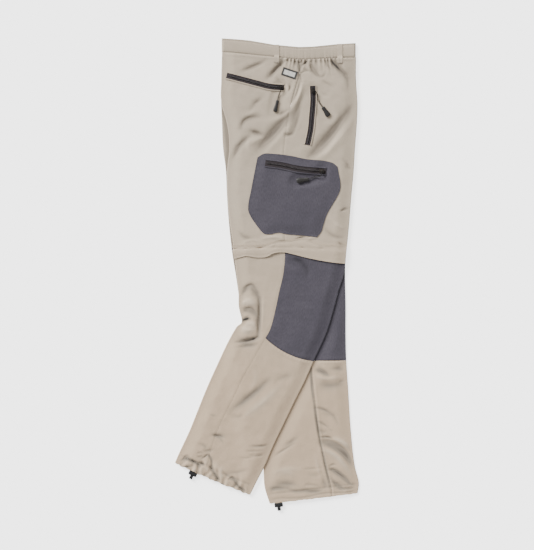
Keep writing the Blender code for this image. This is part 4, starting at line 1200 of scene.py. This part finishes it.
def make_panels():
    made, cuts = {}, {}
    for side in ("left", "right"):
        for part, half, start, end, slot in PANELS:
            name = f"{part}_{side}"
            thing, cut = panel(f"{name}_cloth", side, half, start, end, (True, end != "hem"))
            made[name] = dress(thing, slot, nodes=[name])
            cuts[name] = cut
        thing, cut = band(f"waistband_{side}_cloth", LEGS[side])
        made[f"waistband_{side}"] = dress(thing, "cloth", nodes=[f"waistband_{side}"])
        cuts[f"waistband_{side}"] = cut
    return made, cuts


def make_flap(surface):
    rows, columns = 16, 100
    v = np.linspace(0, 1, rows)[:, None]
    back = FLAP_TOP[0][0] + (FLAP_EDGE[0][0] - FLAP_TOP[0][0]) * v
    front = FLAP_TOP[-1][0] + (FLAP_EDGE[-1][0] - FLAP_TOP[-1][0]) * v
    line = back + (front - back) * np.linspace(0, 1, columns)[None]
    top, low = curve(FLAP_TOP, 300), curve(FLAP_EDGE, 300)
    down = np.interp(line, top[:, 0], top[:, 1]) * (1 - v) + np.interp(line, low[:, 0], low[:, 1]) * v
    puff = 0.9 * np.sin(math.pi * v * 0.9) ** 0.7 + 0.5 * v * np.sin(line / 13.0 + 2 * np.sin(line / 37.0))
    puff = puff - 0.8 * np.exp(-(((v - 0.12) / 0.07) ** 2)) - 0.5 * np.exp(-(((v - 0.86) / 0.06) ** 2))
    stand = 1.5 * v**3 * (0.6 + 0.4 * np.sin(line / 21.0 + 1))
    grid = np.stack([line, down], axis=-1)
    thing = laid("zip_flap_cloth", grid, surface, 0.8, np.maximum(puff, -0.3) + 0.3, stand=stand)
    return dress(thing, "cloth", nodes=["zip_flap_right"])


def make_pocket(surface):
    grid = patch(POCKET_TOP, POCKET_BOTTOM, POCKET_BACK, POCKET_FRONT, 70, 76)
    rim = rim_distance(grid)
    puff = 2.0 * ease(rim / 26) - 0.5 * np.exp(-(((rim - 3.5) / 1.6) ** 2))
    x, down = grid[..., 0], grid[..., 1]
    puff = puff + 0.35 * np.sin(x / 21 + down / 34) * ease(rim / 20)
    puff = puff + 0.2 * np.sin(x / 9 - down / 15) * ease(rim / 20)
    puff = puff - 0.9 * pressed(grid.reshape(-1, 2)).reshape(puff.shape)
    thing = laid("cargo_pocket_cloth", grid, surface, 0.9, np.maximum(puff, 0), times=6)
    return dress(thing, "grey_cloth", nodes=["cargo_pocket"])


# One tooth of a zip's coil, in millimetres.
TOOTH = {"Pitch": 1.3, "Length": 0.75, "Width": 3.6, "Height": 0.9}


def make_zip(kind, surface, tree):
    """The tape, the coil down its middle, and the cloth's turned edges beside it."""
    zipper = ZIPS[kind]
    tape = laid(f"{kind}_zip_tape", ribbon(zipper["line"], zipper["width"], 60, 7), surface, 0.5)
    dress(tape, "zip_tape", nodes=[f"{kind}_zip"])
    coil = on_cloth(zipper["line"], surface, 120, 0.25)[4:-4]
    teeth = repeated(f"{kind}_coil", tree, [coil], TOOTH, FINISHES["coil"])
    dress(teeth, "zip_tape", finish="coil")
    slot = "grey_cloth" if kind == "cargo" else "cloth"
    lips = []
    for side in (-1, 1):
        middle = ribbon(zipper["line"], zipper["width"] + 2.4, 60, 2)[:, 0 if side < 0 else 1]
        grid = ribbon(middle, 2.6, 60, 4)
        lip = laid(f"{kind}_welt_{'upper' if side < 0 else 'lower'}", grid, surface, 0.9, lift=0.05)
        lips.append(dress(lip, slot))
    return [tape, teeth, *lips]


def make_loop(name, surface):
    x, top, bottom = BELT_LOOPS[name]
    line = ((x, top), (x + 0.4, (top + bottom) / 2), (x, bottom))
    thing = laid(f"{name}_strip", ribbon(line, BELT_LOOP_WIDTH, 26, 8), surface, 1.0, times=4)
    return dress(thing, "cloth", nodes=[name])


def make_label(surface):
    turn = math.radians(LABEL["turn"])
    right, below = np.array([math.cos(turn), math.sin(turn)]), np.array([-math.sin(turn), math.cos(turn)])
    u, v = np.linspace(-0.5, 0.5, 71)[None, :, None], np.linspace(-0.5, 0.5, 39)[:, None, None]
    grid = np.array([LABEL["x"], LABEL["down"]]) + right * LABEL["width"] * u + below * LABEL["height"] * v
    thing = laid("label_blank", grid, surface, 0.5, times=4)
    inset = np.minimum((0.5 - np.abs(u)) * LABEL["width"], (0.5 - np.abs(v)) * LABEL["height"])[..., 0]
    shade = (inset > LABEL_BORDER).astype(np.float32).ravel()
    thing.data.attributes["crease"].data.foreach_set("value", np.concatenate([shade, shade]))
    return dress(thing, "label", nodes=["label"])


def between(line, low, high):
    """The part of a line that lies between two distances down."""
    return line[(line[:, 1] > low) & (line[:, 1] < high)]


def stitch_lines(surface):
    """Every row of stitching, as lines on the cloth, by thread."""
    beige, grey = [], []
    leg = RIGHT
    seam = leg.table[:, 2:4]
    thigh = seam[0:9]
    for offset in (4.0, 7.0):
        beside = ribbon(thigh, 2 * offset, 240, 2)[:, 0]
        beige.append(between(beside, 56, 150))
    knee = seam[9:15]
    beige.append(ribbon(knee, 10.0, 60, 2)[:, 1])
    waist = np.array(waist_seam(leg))
    waist[0, 0] += 4
    waist[-1, 0] -= 4
    beige.append(ribbon(waist, 5.0, 100, 2)[:, 0])
    top = np.array(BAND_TOP)
    beige.append(ribbon(top[1:-1], 6.0, 100, 2)[:, 1])
    hem = np.array([leg.table[-1, k : k + 2] for k in (0, 2, 4)])
    beige.append(ribbon(hem, 2 * HEM_CHANNEL, 80, 2)[3:-3, 0])
    beige.append(ribbon(YOKE, 3.0, 30, 2)[:, 1])
    for line in (FLAP_TOP, FLAP_EDGE):
        side = 1 if line is FLAP_TOP else 0
        beige.append(ribbon(line, 6.0, 120, 2)[3:-3, side])
    for edge, side in ((POCKET_TOP, 1), (POCKET_FRONT, 1), (POCKET_BOTTOM, 0), (POCKET_BACK, 0)):
        grey.append(ribbon(edge, 7.0, 90, 2)[2:-2, side])
    for kind, zipper in ZIPS.items():
        rows = ribbon(zipper["line"], zipper["width"] + 6.0, 60, 2)
        (grey if kind == "cargo" else beige).extend([rows[:, 0], rows[:, 1]])
    for x, _, bottom in BELT_LOOPS.values():
        half = BELT_LOOP_WIDTH * 0.42
        for down in (bottom - 1.6, bottom - 0.6):
            grey.append(np.array([(x - half, down), (x, down + 0.2), (x + half, down)]))
    lines = []
    for group in (beige, grey):
        lines.append([np.array([(x, d, surface.top(x, d) + 0.08) for x, d in line]) for line in group])
    return lines


# One stitch, in millimetres.
STITCH = {"Pitch": 3.0, "Length": 2.3, "Width": 0.55, "Height": 0.5}


def make_stitches(surface, tree):
    beige, grey = stitch_lines(surface)
    rows = repeated("beige_stitches", tree, beige, STITCH, FINISHES["thread"])
    dress(rows, "cloth", finish="thread")
    rows = repeated("grey_stitches", tree, grey, STITCH, FINISHES["grey_thread"])
    dress(rows, "grey_cloth", finish="grey_thread")


FLOOR = -0.0003  # the paper lies just under the part, in metres
WORLD_LIGHT = 0.74
PAPER_GLOW = 2.0
KEY_FROM = (-1.0, 1.1, 0.85)
KEY_POWER = 7.6
KEY_ANGLE = 26  # how wide the lamp looks from the cloth, in degrees


def make_camera():
    """Straight above, as the garment was photographed, with a long lens."""
    data = bpy.data.cameras.new("camera")
    data.lens = 85
    data.sensor_width = 36
    across_m = VIEW_STEPS * GRID * MM
    camera = bpy.data.objects.new("camera", data)
    bpy.context.collection.objects.link(camera)
    camera.location = (0, 0, across_m * data.lens / data.sensor_width + 0.01)
    bpy.context.scene.camera = camera


def make_studio():
    mesh = bpy.data.meshes.new("floor")
    half = 4.0
    corners = ((-half, -half), (half, -half), (half, half), (-half, half))
    mesh.from_pydata([(*corner, FLOOR) for corner in corners], [], [(0, 1, 2, 3)])
    floor = bpy.data.objects.new("floor", mesh)
    bpy.context.collection.objects.link(floor)
    paper = Finish("paper", 0.9)
    paper.shader.inputs["Base Color"].default_value = rgb(246, 246, 246)
    paper.shader.inputs["Emission Color"].default_value = (1, 1, 1, 1)
    paper.shader.inputs["Emission Strength"].default_value = PAPER_GLOW
    mesh.materials.append(paper.material)
    world = bpy.data.worlds.new("studio")
    bpy.context.scene.world = world
    world.use_nodes = True
    world.node_tree.nodes["Background"].inputs[0].default_value = (1, 1, 1, 1)
    world.node_tree.nodes["Background"].inputs[1].default_value = WORLD_LIGHT
    sun = bpy.data.lights.new("key", "SUN")
    sun.energy = KEY_POWER
    sun.angle = math.radians(KEY_ANGLE)
    lamp = bpy.data.objects.new("key", sun)
    bpy.context.collection.objects.link(lamp)
    lamp.location = KEY_FROM
    lamp.rotation_euler = (-Vector(KEY_FROM)).to_track_quat("-Z", "Y").to_euler()


def paint_node(name, finish):
    """A solid of the CAD that shows as it is gets one of the scene's finishes."""
    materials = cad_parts[name].data.materials
    materials.clear()
    materials.append(FINISHES[finish])


def main():
    make_camera()
    make_studio()
    panels, cuts = make_panels()
    surface = Surface([thing for name, thing in panels.items() if name.endswith("right")])
    stitch = repeat_tree("stitching", "GeometryNodeMeshIcoSphere")
    tooth = repeat_tree("zip_coil", "GeometryNodeMeshCube")
    flap = make_flap(surface)
    pocket = make_pocket(surface)
    loops = [make_loop(name, surface) for name in BELT_LOOPS]
    label = make_label(surface)
    zips = {kind: make_zip(kind, surface, tooth) for kind in ZIPS}
    make_stitches(surface, stitch)
    for kind in ZIPS:
        paint_node(f"{kind}_slider", "zip_metal")
        paint_node(f"{kind}_cord", "pull")
        paint_node(f"{kind}_grip", "pull")
    for side in LEGS:
        paint_node(f"lock_{side}", "lock")
        paint_node(f"button_{side}", "lock")
        paint_node(f"zip_off_{side}", "zip_tape")


main()
